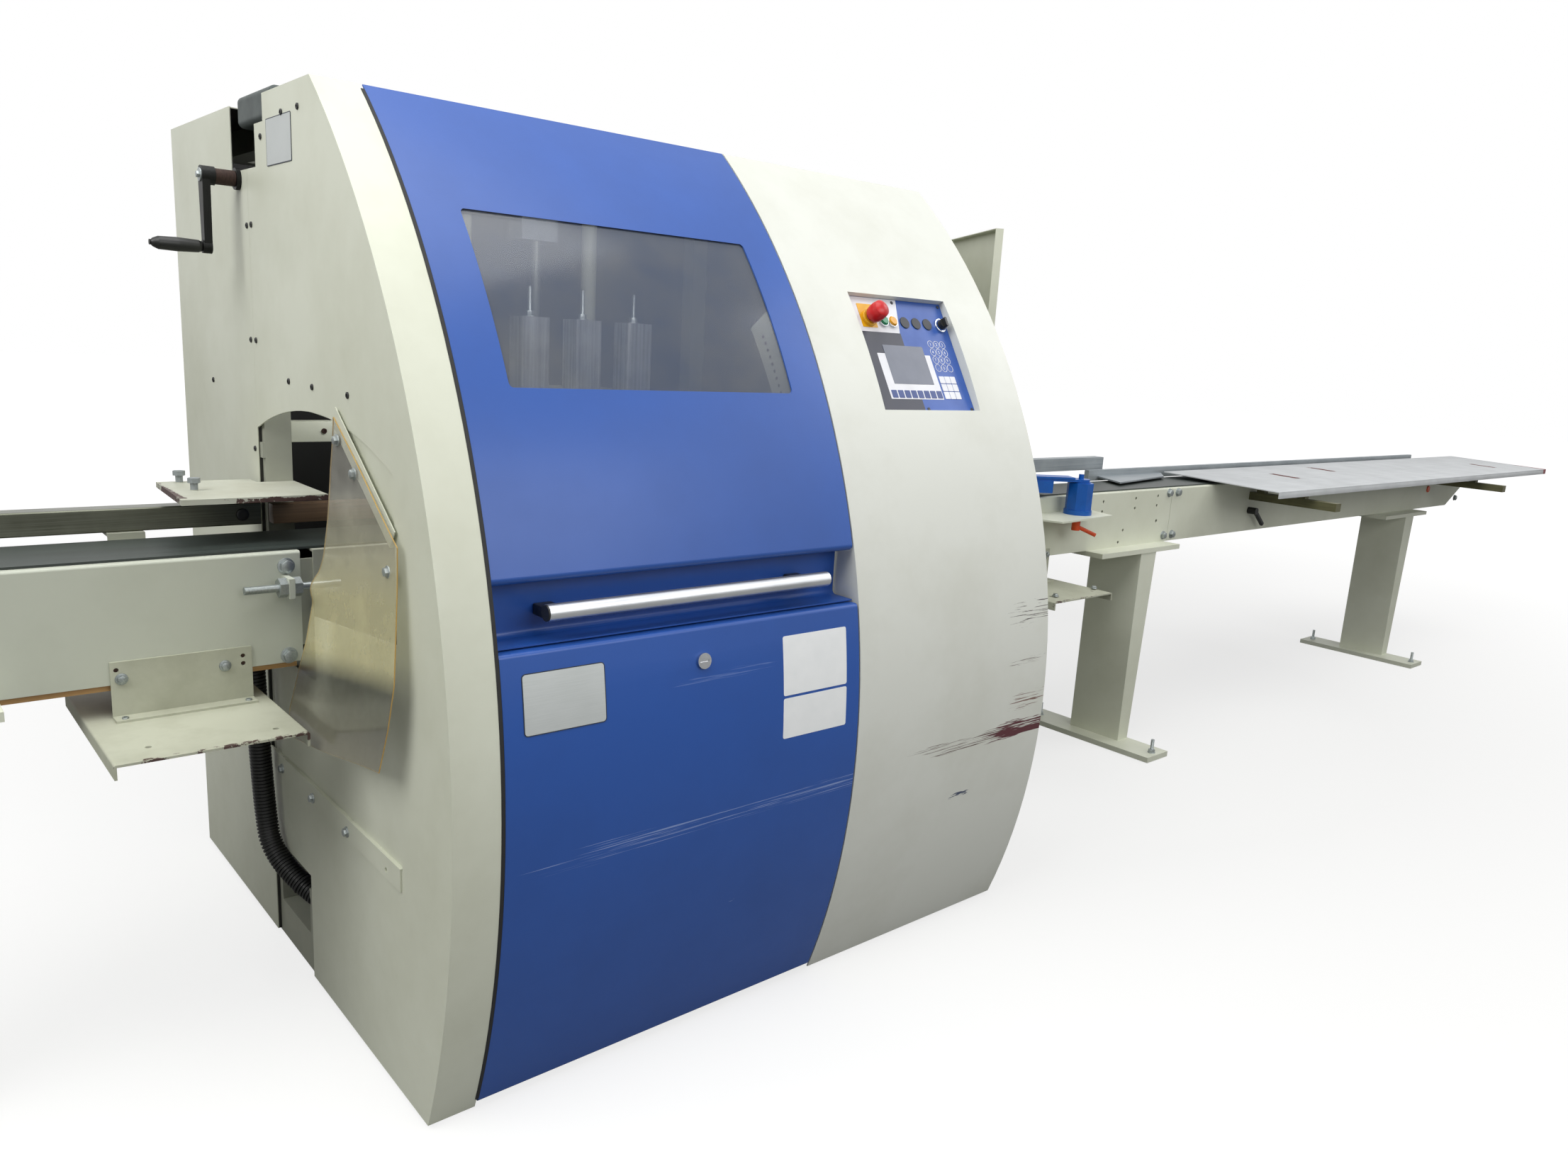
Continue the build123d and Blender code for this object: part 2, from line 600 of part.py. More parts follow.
def control_plate():
    """Flat control plate with the fixed collars of its switches."""
    plate = Pos(0, 0, -PLATE_T / 2) * Box(CONTROL_W - 1, CONTROL_H - 1, PLATE_T - 0.2)
    plate = CONTROL * plate
    for uv, r, h in ((ESTOP_UV, 15, ESTOP_COLLAR_H), (START_UV, 12.5, 5), (RESET_UV, 12.5, 5), (SELECT_UV, 14, 5)):
        plate += on_panel(uv, -1, h, r)
    for uv, r in (
        (ESTOP_UV, ESTOP_STEM_R + FIT),
        (START_UV, BUTTON_R + FIT),
        (RESET_UV, BUTTON_R + FIT),
        (SELECT_UV, SELECT_STEM_R + RUN),
    ):
        plate -= on_panel(uv, -20, 30, r)
    return plate


def emergency_stop():
    """Barrel-shaped head on its stem, clear of its collar when it is pushed in."""
    head_z = ESTOP_COLLAR_H + ESTOP_TRAVEL + 1.0
    side = Spline((ESTOP_R - 2.5, head_z), (ESTOP_R, head_z + 16), (ESTOP_R - 2, head_z + 31))
    crown = RadiusArc(side @ 1, (-(ESTOP_R - 2), head_z + 31), -ESTOP_CROWN_R).trim(0, 0.5)
    foot = Polyline(crown @ 1, (0, -22), (ESTOP_STEM_R, -22), (ESTOP_STEM_R, head_z), side @ 0)
    head = revolve(Plane.XZ * make_face([side, crown, foot]), Axis.Z)
    return CONTROL * Pos(ESTOP_UV[0], ESTOP_UV[1], 0) * head


def push_button(uv):
    cap = Pos(0, 0, -4) * Cylinder(BUTTON_R, 26)
    cap = chamfer(cap.faces().sort_by(Axis.Z)[-1].edges(), 1.2)
    return CONTROL * Pos(uv[0], uv[1], 0) * cap


def selector_knob():
    """Turn knob with a raised bar."""
    knob = Pos(0, 0, -6) * Cylinder(SELECT_STEM_R, 24)
    knob += Pos(0, 0, 10) * Cylinder(11.5, 9)
    bar = Pos(0, 0, 18) * Box(7, 22, 10)
    knob += fillet(bar.edges().filter_by(Axis.Z), 3)
    return CONTROL * Pos(SELECT_UV[0], SELECT_UV[1], 0) * knob


RECESS_Y = front_y(LIP_Z) + RECESS_D
RECESS_GAP = 3.0
RECESS_RIM = 16.0
HANDLE_Y = front_y(LIP_Z) - 7.0
HANDLE_Z = (LIP_Z + COVER_TOP) / 2 + 3.0
HANDLE_X0 = (DOOR_X0 + DOOR_X1) / 2 + 8.0 - HANDLE_L / 2
HANDLE_X1 = HANDLE_X0 + HANDLE_L
WINDOW_X0 = DOOR_X0 + 83.0
WINDOW_Z1 = CABINET_H - WINDOW_DROP
WINDOW_Z0 = WINDOW_Z1 - WINDOW_H


def hood_panel():
    """Bowed hood: skin with window, rolled lip, hand recess, stiffening sides and hinge ears."""
    arc = front_arc(CABINET_H, LIP_Z)
    lip = (front_y(LIP_Z), LIP_Z)
    inner = (RECESS_Y, LIP_Z)
    foot = (RECESS_Y, COVER_TOP + RECESS_GAP + HOOD_T)
    rim = (front_y(COVER_TOP) + RECESS_RIM, COVER_TOP + RECESS_GAP + HOOD_T)
    edges = [arc, Line(arc @ 1, inner), Line(inner, foot), Line(foot, rim)]
    hood = folded(edges, [lip, inner, foot], 10, HOOD_T, DOOR_X0, DOOR_X1)
    for x in (DOOR_X0, DOOR_X1 - HOOD_T):
        hood += bowed(x, x + HOOD_T, LIP_Z + LIP_R, CABINET_H - 12, 0, 30)
    z_mid = (WINDOW_Z0 + WINDOW_Z1) / 2
    pane = Pos(WINDOW_X0 + WINDOW_W / 2, z_mid) * RectangleRounded(WINDOW_W, WINDOW_H, 8)
    hood -= Pos(0, front_y(LIP_Z) + 700, 0) * extrude(Plane.XZ * pane, 800)
    for x in HOOD_EARS:
        ear = block(
            x, x + EAR_T, front_y(HOOD_AXIS_Z - 20, 1.5), HOOD_AXIS_Y + 13, HOOD_AXIS_Z - 24, HOOD_AXIS_Z + 13
        )
        ear &= rod_x(FRONT_R - 1, x, x + EAR_T, ARC_Y, BULGE_Z)
        hood += ear - rod_x(HOOD_PIN_R + RUN, x - 1, x + EAR_T + 1, HOOD_AXIS_Y, HOOD_AXIS_Z)
    return hood


def hood_window():
    """Bowed smoked pane behind the opening in the hood."""
    rim = 16.0
    return bowed(
        WINDOW_X0 - rim, WINDOW_X0 + WINDOW_W + rim, WINDOW_Z0 - rim, WINDOW_Z1 + rim, HOOD_T + FIT, 5
    )


def door_handle():
    tube = rod_x(HANDLE_R, HANDLE_X0, HANDLE_X1, HANDLE_Y, HANDLE_Z)
    return tube - rod_x(HANDLE_R - 2.5, HANDLE_X0 - 1, HANDLE_X1 + 1, HANDLE_Y, HANDLE_Z)


def handle_brackets():
    """Two moulded end brackets between the handle tube and the recess."""
    width = 20.0
    brackets = []
    for x in (HANDLE_X0 + 4, HANDLE_X1 - 4 - width):
        ring = rod_x(HANDLE_R + 4, x, x + width, HANDLE_Y, HANDLE_Z)
        ring += block(x, x + width, HANDLE_Y, RECESS_Y, HANDLE_Z - 12, HANDLE_Z + 12)
        ring += block(x - 6, x + width + 6, RECESS_Y - 6, RECESS_Y, HANDLE_Z - 22, HANDLE_Z + 22)
        brackets.append(ring - rod_x(HANDLE_R + RUN, x - 1, x + width + 1, HANDLE_Y, HANDLE_Z))
    return Compound(children=brackets)


LOCK_X = XL + 466.0
LOCK_Z = COVER_TOP - 59.0
LOCK_PHI = asin((LOCK_Z - BULGE_Z) / FRONT_R)
LOCK_N = Vector(0, -cos(LOCK_PHI), sin(LOCK_PHI))
LOCK = Plane(origin=(LOCK_X, front_y(LOCK_Z), LOCK_Z), x_dir=(1, 0, 0), z_dir=LOCK_N)
LOCK_R = 8.0


def lower_panel():
    """Bowed lower cover with rolled top, foot return, stiffening sides and lock seat."""
    top_y = front_y(COVER_TOP)
    foot_y = front_y(COVER_FOOT)
    arc = front_arc(COVER_TOP, COVER_FOOT)
    back = (top_y + 34, COVER_TOP)
    edges = [
        Line((top_y + 34, COVER_TOP - 26), back),
        Line(back, arc @ 0),
        arc,
        Line(arc @ 1, (foot_y + 26, COVER_FOOT)),
    ]
    cover = folded(edges, [back, (top_y, COVER_TOP), (foot_y, COVER_FOOT)], 8, HOOD_T, DOOR_X0, DOOR_X1)
    for x in (DOOR_X0, DOOR_X1 - HOOD_T):
        side = bowed(x, x + HOOD_T, COVER_FOOT + 10, COVER_TOP - 12, 0, 30)
        side += rod_x(15, x, x + HOOD_T, COVER_AXIS_Y, COVER_AXIS_Z)
        cover += side - rod_x(COVER_PIN_R + RUN, x - 1, x + HOOD_T + 1, COVER_AXIS_Y, COVER_AXIS_Z)
    for x in COVER_LUGS:
        cover -= block(x - 2, x + 12, foot_y + 10, foot_y + 40, COVER_FOOT - 1, COVER_FOOT + 8)
    return cover - LOCK * Cylinder(LOCK_R + RUN, 40)


def cover_lock():
    """Quarter-turn lock: round head with a slot, shank and cross bar behind the cover."""
    head = Pos(0, 0, 3) * Cylinder(14, 5)
    head -= Pos(0, 0, 5) * Box(20, 3, 4)
    head += Pos(0, 0, -12) * Cylinder(LOCK_R, 30)
    head += Pos(0, 0, -22) * Box(12, 46, 8)
    return LOCK * head


def channel(x0, x1, z0, bed_x0, bed_x1):
    """Conveyor beam: folded channel, open below, its top the slide bed of the belt."""
    foot = 28.0
    outline = [
        (BEAM_Y, z0),
        (BEAM_Y, BED_TOP),
        (BEAM_Y1, BED_TOP),
        (BEAM_Y1, z0),
        (BEAM_Y1 - foot, z0),
        (BEAM_Y1 - foot, z0 + BEAM_T),
        (BEAM_Y1 - BEAM_T, z0 + BEAM_T),
        (BEAM_Y1 - BEAM_T, BED_TOP - BEAM_T),
        (BEAM_Y + BEAM_T, BED_TOP - BEAM_T),
        (BEAM_Y + BEAM_T, z0 + BEAM_T),
        (BEAM_Y + foot, z0 + BEAM_T),
        (BEAM_Y + foot, z0),
    ]
    face = make_face(Polyline(*outline, close=True))
    edge_fold = [v for v in face.vertices() if abs(v.Y - BED_TOP) < 0.01]
    face = fillet(edge_fold, 5)
    beam = Pos(x0, 0, 0) * extrude(Plane.YZ * face, x1 - x0)
    for a, b in ((x0, bed_x0), (bed_x1, x1)):
        if b > a:
            top = BED_TOP - BEAM_T - 2
            beam -= block(a - 1, b + 0.01, BEAM_Y + BEAM_T, BEAM_Y1 - BEAM_T, top, BED_TOP + 1)
    return beam


ROD_Y = BEAM_Y - 25.0
ROD_Z = BELT_TOP - 64.0
ROD_R = 7.0
NUT_X = XL - 43.0


def infeed_beam():
    """Infeed conveyor beam with the lug of the tension rod and the conduit's box behind."""
    x0 = IN_TAIL_X - LOOP_R + 5
    x1 = XL - BEAM_GAP
    beam = channel(x0, x1, INFEED_BEAM_Z, IN_TAIL_X + LOOP_R + 6, x1)
    beam -= rod_y(SHAFT_R + RUN, IN_TAIL_X, BEAM_Y - 1, BEAM_Y1 + 1, DRUM_Z)
    lug = block(NUT_X - 5, NUT_X + 5, ROD_Y - 18, BEAM_Y, ROD_Z - 18, ROD_Z + 18)
    beam += lug - rod_x(ROD_R + FIT, NUT_X - 9, NUT_X + 9, ROD_Y, ROD_Z)
    cable_box = block(XL - 58, XL - 16, BEAM_Y1, CONDUIT_Y + 26, CONDUIT_TOP - 14, CONDUIT_TOP + 40)
    cable_box -= rod_z(CONDUIT_R + 1, CONDUIT_X - 7, CONDUIT_Y, CONDUIT_TOP - 20, CONDUIT_TOP + 10)
    return beam + cable_box


def belt_loop(x0, x1):
    """Endless belt round two drums."""
    outer = SlotCenterToCenter(x1 - x0, 2 * LOOP_R)
    inner = SlotCenterToCenter(x1 - x0, 2 * DRUM_R)
    ring = Pos((x0 + x1) / 2, BELT_Y1, DRUM_Z) * (Plane.XZ * (outer - inner))
    return extrude(ring, BELT_W)


def drum(x):
    """Belt drum with its shaft ends."""
    roll = rod_y(DRUM_R - FIT, x, BELT_Y0 - 3, BELT_Y1 + 3, DRUM_Z)
    return roll + rod_y(SHAFT_R, x, BEAM_Y - 2, BEAM_Y1 + 2, DRUM_Z)


FENCE_Y = BEAM_Y1 + 13.0
IN_FENCE_Z = BELT_TOP + 9.0
OUT_FENCE_Z = BELT_TOP - 3.0
RAIL_Y = BEAM_Y1 + 45.0
RAIL_Z = BELT_TOP + 32.0


def infeed_fence():
    """Square-tube fence behind the infeed belt."""
    x0, x1 = XL - INFEED_REACH + 50, XL - BEAM_GAP
    bar = block(x0, x1, FENCE_Y, FENCE_Y + 42, IN_FENCE_Z, IN_FENCE_Z + 43)
    bar = fillet(bar.edges().filter_by(Axis.X), 3)
    return bar - block(x0 - 1, x1 + 1, FENCE_Y + 4, FENCE_Y + 38, IN_FENCE_Z + 4, IN_FENCE_Z + 39)


def infeed_guide_plate():
    """Thick plate that limits the height of the timber at the infeed."""
    z = BELT_TOP + 77.0
    x_left, x_in = XL - 178, XL + 60
    y_front, y_post = BEAM_Y + 63, POST_Y0 - FIT
    outline = [
        (x_left, y_post + 46),
        (x_left - 12, y_front),
        (x_in, y_front),
        (x_in, y_post),
        (XL - 10, y_post),
        (XL - 10, y_post + 46),
    ]
    plate = prism_z(outline, z, z + 10)
    for y in (BEAM_Y + 177, BEAM_Y + 285):
        plate += Pos(x_left + 36, y, z + 24) * extrude(RegularPolygon(11, 6), 9)
        plate += rod_z(6.5, x_left + 36, y, z + 10, z + 26)
    return plate


def shelf(x0, x1):
    """Sheet shelf with turned-down ends under a beam, hung on an angle from its front."""
    z = 625.0
    y0, y1 = BEAM_Y - 228, BEAM_Y1 - 25
    plate = block(x0, x1, y0, y1, z - 4, z)
    for x in (x0, x1 - 4):
        plate += block(x, x + 4, y0, y1, z - 24, z)
    edges = plate.edges().filter_by(Axis.Y).group_by(Axis.Z)[-1]
    plate = fillet(edges, 3.5)
    angle = block(x0 + 41, x1 - 25, BEAM_Y - 4, BEAM_Y, z, z + 98)
    angle += block(x0 + 41, x1 - 25, BEAM_Y - 32, BEAM_Y, z, z + 4)
    for dx, y in ((59, BEAM_Y - 169), (247, BEAM_Y - 183)):
        plate -= rod_z(5, x0 + dx, y, z - 10, z + 5)
    for dx, h in ((50, 84), (x1 - x0 - 40, 82), (x1 - x0 - 40, 68)):
        angle -= screw_hole_y(4, x0 + dx, BEAM_Y - 2, z + h)
    return plate + angle


def side_shelves():
    """The two shelves beside the cabinet."""
    starts = (XL - INFEED_SHELF, XR + OUTFEED_SHELF)
    return Compound(children=[shelf(x, x + SHELF_L) for x in starts])


def belt_tension_rod():
    """Threaded rod with a nut on each side of its lug."""
    rod = rod_x(ROD_R, NUT_X - 76, NUT_X + 90, ROD_Y, ROD_Z)
    for x in (NUT_X - 19.3, NUT_X + 5.3):
        nut = extrude(RegularPolygon(18, 6), 14)
        rod += Pos(x, ROD_Y, ROD_Z) * Rot(0, 90, 0) * nut
    return rod


def beam_holes(beam, places):
    for back, drop, r in places:
        beam -= screw_hole_y(r, SPLICE_X - back, BEAM_Y, BELT_TOP - drop)
    return beam


TENSION_X = XR + 852.0
TENSION_Y = BEAM_Y - 58.0
TENSION_Z = BELT_TOP - 53.0
STUD_R = 8.0
LEVER_R = 6.0


def outfeed_beam_near():
    """First outfeed beam with the welded shelf of the tensioner and the splice plates of its end."""
    x0, x1 = XR + BEAM_GAP, SPLICE_X - 1
    beam = channel(x0, x1, OUTFEED_BEAM_Z, x0, x1)
    for y in (BEAM_Y + BEAM_T, BEAM_Y1 - BEAM_T - 6):
        beam += block(x1 - 70, x1 + 72, y, y + 6, OUTFEED_BEAM_Z + 12, BED_TOP - BEAM_T - 12)
    xs0, xs1 = TENSION_X - 200, TENSION_X + 110
    y_edge = TENSION_Y - 90
    outline = [(xs0, y_edge), (xs1 - 12, y_edge + 26), (xs1 + 24, BEAM_Y), (xs0 - 60, BEAM_Y)]
    beam += prism_z(outline, TENSION_Z - 5, TENSION_Z)
    beam -= rod_z(LEVER_R + RUN, TENSION_X, TENSION_Y, TENSION_Z - 6, TENSION_Z + 1)
    places = ((419, 34, 5), (421, 67, 5), (227, 31, 5), (228, 65, 5), (90, 29, 5))
    places += ((92, 62, 5), (83, 117, 6), (285, 137, 5), (306, 177, 5))
    return beam_holes(beam, places)


CLAMP_X = TABLE_X0 + 306.0
CLAMP_Z = BELT_TOP - 113.0
PIVOT_R = 6.0


def outfeed_beam_far():
    """Second outfeed beam with a tapered tail."""
    x0, x1 = SPLICE_X + 1, OUT_TAIL_X + LOOP_R + 4
    beam = channel(x0, x1, OUTFEED_BEAM_Z, x0, OUT_TAIL_X - LOOP_R - 6)
    taper = [
        (x1 - 220, OUTFEED_BEAM_Z - 1),
        (x1 - 35, DRUM_Z - LOOP_R - 3),
        (x1 + 1, DRUM_Z - LOOP_R - 3),
        (x1 + 1, OUTFEED_BEAM_Z - 1),
    ]
    beam -= prism_y(taper, BEAM_Y - 1, BEAM_Y1 + 1)
    beam -= rod_y(SHAFT_R + RUN, OUT_TAIL_X, BEAM_Y - 1, BEAM_Y1 + 1, DRUM_Z)
    beam -= rod_y(PIVOT_R + RUN, CLAMP_X, BEAM_Y - 1, BEAM_Y + BEAM_T + 1, CLAMP_Z)
    return beam


def outfeed_fence():
    """Fence rail of the outfeed, led in by a tapered tongue."""
    x0 = SPLICE_X - 190
    rail = block(x0, OUT_TAIL_X - 95, FENCE_Y, FENCE_Y + 18, OUT_FENCE_Z, OUT_FENCE_Z + 38)
    z = BELT_TOP + 8.0
    tip = [(x0 - 24, BELT_Y0 + 62), (x0 + 370, BELT_Y1 - 48)]
    tongue = [(x0 + 70, FENCE_Y + 18), *tip, (x0 + 500, FENCE_Y + 18)]
    return rail + prism_z(tongue, z, z + 5)


def entry_rail():
    """Channel-section guide rail at the cabinet's exit."""
    x0, x1 = XR + BEAM_GAP + 5, SPLICE_X - 60
    rail = block(x0, x1, RAIL_Y, RAIL_Y + 40, RAIL_Z, RAIL_Z + 44)
    return rail - block(x0 - 1, x1 + 1, RAIL_Y + 4, RAIL_Y + 41, RAIL_Z + 4, RAIL_Z + 40)


def angle_bracket(x, width, top_z, reach):
    """Angle behind a beam: upright on the beam, shelf under the rail."""
    y0 = BEAM_Y1
    drop = 70.0
    angle = block(x - width / 2, x + width / 2, y0, y0 + 6, top_z - drop, top_z)
    return angle + block(x - width / 2, x + width / 2, y0, reach, top_z - 6, top_z)


def fence_brackets():
    """Angles that carry the fences and the entry rail."""
    parts = []
    for share in (0.85, 0.52, 0.185):
        parts.append(angle_bracket(XL - share * INFEED_REACH, 60, IN_FENCE_Z, FENCE_Y + 40))
    for share in (0.1, 0.6):
        parts.append(angle_bracket(XR + share * NEAR_BEAM_L, 60, RAIL_Z, RAIL_Y + 38))
    places = (SPLICE_X + FENCE_ANGLE_NEAR, SPLICE_X + FENCE_ANGLE_FAR, OUT_TAIL_X - FENCE_ANGLE_END)
    for x, width in zip(places, (140, 260, 60)):
        parts.append(angle_bracket(x, width, OUT_FENCE_Z, FENCE_Y + 90))
    return Compound(children=parts)


TABLE_Y0 = BEAM_Y - 256.0
TABLE_Z0 = BELT_TOP + 4.0
ARM_XS = tuple(TABLE_X0 + place for place in TABLE_ARMS)


def table_z(y):
    """Height of the side table's top at depth y."""
    return TABLE_Z0 + (y - TABLE_Y0) * TABLE_FALL / TABLE_W


def side_table():
    """Slanted sheet table over the outfeed, slotted, with a folded front lip."""
    y1 = TABLE_Y0 + TABLE_W
    t = 4.0
    profile = [
        (TABLE_Y0, table_z(TABLE_Y0)),
        (y1, table_z(y1)),
        (y1, table_z(y1) - t),
        (TABLE_Y0 + t, table_z(TABLE_Y0) - t),
        (TABLE_Y0 + t, table_z(TABLE_Y0) - 24),
        (TABLE_Y0, table_z(TABLE_Y0) - 24),
    ]
    sheet = prism_x(profile, TABLE_X0, X_END)
    for place in TABLE_SLOTS:
        slot = Pos(TABLE_X0 + place, TABLE_Y0 + 150, TABLE_Z0) * extrude(SlotOverall(150, 14), 60, both=True)
        sheet -= slot
    return sheet


def table_arms():
    """Bars bolted under the beam's bed line that carry the side table on short uprights."""
    arms = []
    for x in ARM_XS:
        z1 = BELT_TOP - 41.0
        arm = block(x - 20, x + 20, TABLE_Y0 - 74, BEAM_Y, z1 - 30, z1)
        for y in (TABLE_Y0 + 60, BEAM_Y - 40):
            arm += block(x - 15, x + 15, y - 15, y + 15, z1, table_z(y - 15) - 4 - FIT)
        arms.append(arm)
    return Compound(children=arms)


def leg(x, top_z):
    """Folded channel leg that widens upwards, between its foot bar and top plate."""
    y0, y1 = BEAM_Y - 62, BEAM_Y + 135
    z0, z1 = 18, top_z - 16
    wall = 6.0
    column = prism_y([(x, z0), (x + 58, z0), (x + 92, z1), (x, z1)], y0, y1)
    column -= block(x + wall, x + 100, y0 + wall, y1 - wall, z0, z1)
    foot = block(x - 62, x + 62, BEAM_Y - 220, BEAM_Y + 300, 0, z0)
    for y in (BEAM_Y - 195, BEAM_Y + 267):
        foot -= rod_z(FOOT_HOLE_R, x, y, -1, z0 + 1)
    half = LEG_PLATE_L / 2
    return column + foot + block(x - half, x + half, y0 - 3, y0 - 3 + LEG_PLATE_W, z1, top_z)


def conveyor_legs():
    """Legs of the infeed and of the two outfeed beams."""
    return Compound(
        children=[
            leg(XL - INFEED_LEG, INFEED_BEAM_Z),
            leg(SPLICE_X - NEAR_LEG, OUTFEED_BEAM_Z),
            leg(SPLICE_X + FAR_LEG, OUTFEED_BEAM_Z),
        ]
    )


def tensioner_body():
    """Rubber-spring tensioner: round foot flange, eight-sided body and stud."""
    body = rod_z(43, TENSION_X, TENSION_Y, TENSION_Z, TENSION_Z + 14)
    core = extrude(RegularPolygon(37.5, 8, major_radius=False, rotation=22.5), 84)
    body += Pos(TENSION_X, TENSION_Y, TENSION_Z + 14) * core
    body += rod_z(30, TENSION_X, TENSION_Y, TENSION_Z + 98, TENSION_Z + 101)
    body += rod_z(STUD_R, TENSION_X, TENSION_Y, TENSION_Z + 98, TENSION_Z + 124)
    return body - rod_z(LEVER_R + RUN, TENSION_X, TENSION_Y, TENSION_Z - 1, TENSION_Z + 16)


def tensioner_arm():
    """Swing arm on the tensioner with the pressure shoe at its end, turned in over the belt."""
    z = 101 + FIT
    arm = rod_z(27, 0, 0, z, z + 8)
    arm += block(-190, 0, -25, 25, z, z + 8)
    shoe = block(-190, -100, -30, 62, z - 36, z)
    arm += fillet(shoe.edges().filter_by(Axis.Z), 8)
    arm += block(-186, -32, -28, 28, z + 8, z + 14)
    arm -= rod_z(STUD_R + RUN, 0, 0, z - 1, z + 20)
    return Pos(TENSION_X, TENSION_Y, TENSION_Z) * Rot(0, 0, -30) * arm


def tensioner_lever():
    """Clamp lever under the tensioner's shelf, its stud in the tensioner's foot."""
    under = -5 - FIT
    lever = rod_z(LEVER_R, 0, 0, under - 20, 14)
    lever += rod_z(13, 0, 0, under - 46, under)
    handle = Pos(33, 0, under - 46) * Rot(0, 22, 0) * Box(66, 13, 12)
    lever += fillet(handle.edges().filter_by(GeomType.LINE).group_by(SortBy.LENGTH)[-1], 4)
    return Pos(TENSION_X, TENSION_Y, TENSION_Z) * Rot(0, 0, -41) * lever


def clamp_lever():
    """Clamp lever on the front of the far beam."""
    lever = rod_y(PIVOT_R, CLAMP_X, BEAM_Y - 20, BEAM_Y + BEAM_T + 10, CLAMP_Z)
    lever += rod_y(13, CLAMP_X, BEAM_Y - 34, BEAM_Y - FIT, CLAMP_Z)
    lever += rod_y(10, CLAMP_X, BEAM_Y + BEAM_T + FIT, BEAM_Y + BEAM_T + 8, CLAMP_Z)
    grip = block(CLAMP_X, CLAMP_X + 88, BEAM_Y - 34, BEAM_Y - 20, CLAMP_Z - 8, CLAMP_Z + 8)
    grip = fillet(grip.edges().filter_by(Axis.X), 5)
    tilt = Pos(CLAMP_X, 0, CLAMP_Z) * Rot(0, 38, 0) * Pos(-CLAMP_X, 0, -CLAMP_Z)
    return lever + tilt * grip


def saw_table():
    """Insert between the two belts with the blade slot, hung on lugs from the belt beds."""
    x0, x1 = IN_DRIVE_X + LOOP_R + 6, OUT_DRIVE_X - LOOP_R - 6
    z0 = BELT_TOP - 10
    y0, y1 = ARBOR_Y - BLADE_R - 25, ARBOR_Y + BLADE_R + 25
    plate = block(x0, x1, y0, y1, z0, BELT_TOP)
    plate -= block(BLADE_X - 7, BLADE_X + 7, y0 + 15, y1 - 15, z0 - 1, BELT_TOP + 1)
    front = BEAM_Y + BEAM_T + FIT
    rear = BEAM_Y1 - BEAM_T - FIT
    plate += block(IN_DRIVE_X + 16, BLADE_X - 9, front, front + 5, z0 - 70, z0)
    plate += block(IN_DRIVE_X + 16, BLADE_X - 9, rear - 5, rear, z0 - 70, z0)
    plate += block(BLADE_X + 14, OUT_DRIVE_X - 16, front, front + 5, z0 - 70, z0)
    plate -= block(IN_DRIVE_X, x0, BEAM_Y + BEAM_T, BEAM_Y1, z0 + 4, BELT_TOP + 1)
    return plate


def saw_carriage():
    """Lift carriage: slide plate on the tower, belt case that reaches to the arbor, piston rod below."""
    x0 = TOWER_X1 + TRACK_H + FIT
    z0, z1 = ARBOR_Z - 110, ARBOR_Z + 110
    plate = block(x0, x0 + 30, TOWER_Y0 + 5, TOWER_Y1 - 5, z0, z1)
    for y in TOWER_RAILS:
        for side in (-1, 1):
            inner = y + side * (10 + FIT)
            outer = inner + side * 12
            lo, hi = min(inner, outer), max(inner, outer)
            plate += block(TOWER_X1 + FIT, x0, lo, hi, z0 + 10, z1 - 10)
    plate += block(x0 + 30, CASE_X0, LIFT_Y - 50, LIFT_Y + 50, ARBOR_Z - 60, ARBOR_Z + 40)
    case = block(CASE_X0, CASE_X1, ARBOR_Y, MOTOR_Y, ARBOR_Z - CASE_R, ARBOR_Z + CASE_R)
    case += rod_x(CASE_R, CASE_X0, CASE_X1, ARBOR_Y, ARBOR_Z)
    case += rod_x(CASE_R, CASE_X0, CASE_X1, MOTOR_Y, ARBOR_Z)
    plate += case
    plate -= rod_x(20 + RUN, CASE_X0 - 1, CASE_X1 + 1, ARBOR_Y, ARBOR_Z)
    plate += rod_z(ROD_LIFT_R, LIFT_X, LIFT_Y, PISTON_Z, ARBOR_Z - 59)
    return plate + rod_z(LIFT_BORE_R - 0.5, LIFT_X, LIFT_Y, PISTON_Z, PISTON_Z + PISTON_H)


def saw_motor():
    """Motor flanged to the belt case."""
    x0 = CASE_X1 + 0.1
    profile = [
        (0, 0),
        (0, 90),
        (14, 90),
        (14, 82),
        (34, 82),
        (34, 94),
        (250, 94),
        (250, 88),
        (258, 92),
        (300, 92),
        (306, 84),
        (306, 0),
    ]
    body = revolve(make_face(Polyline(*profile, close=True)), Axis.X)
    body += block(70, 190, -55, 55, 80, 128)
    return Pos(x0, MOTOR_Y, ARBOR_Z) * body


def saw_arbor():
    """Arbor with blade flanges and end nut."""
    half = BLADE_T / 2
    arbor = rod_x(20, BLADE_X + half + 9, CASE_X1 + 8, ARBOR_Y, ARBOR_Z)
    arbor += rod_x(47, BLADE_X + half, BLADE_X + half + 9, ARBOR_Y, ARBOR_Z)
    arbor += rod_x(15, BLADE_X - half - 12, BLADE_X + half, ARBOR_Y, ARBOR_Z)
    arbor += rod_x(47, BLADE_X - half - 8, BLADE_X - half, ARBOR_Y, ARBOR_Z)
    return arbor + rod_x(24, CASE_X1 + FIT, CASE_X1 + 8, ARBOR_Y, ARBOR_Z)


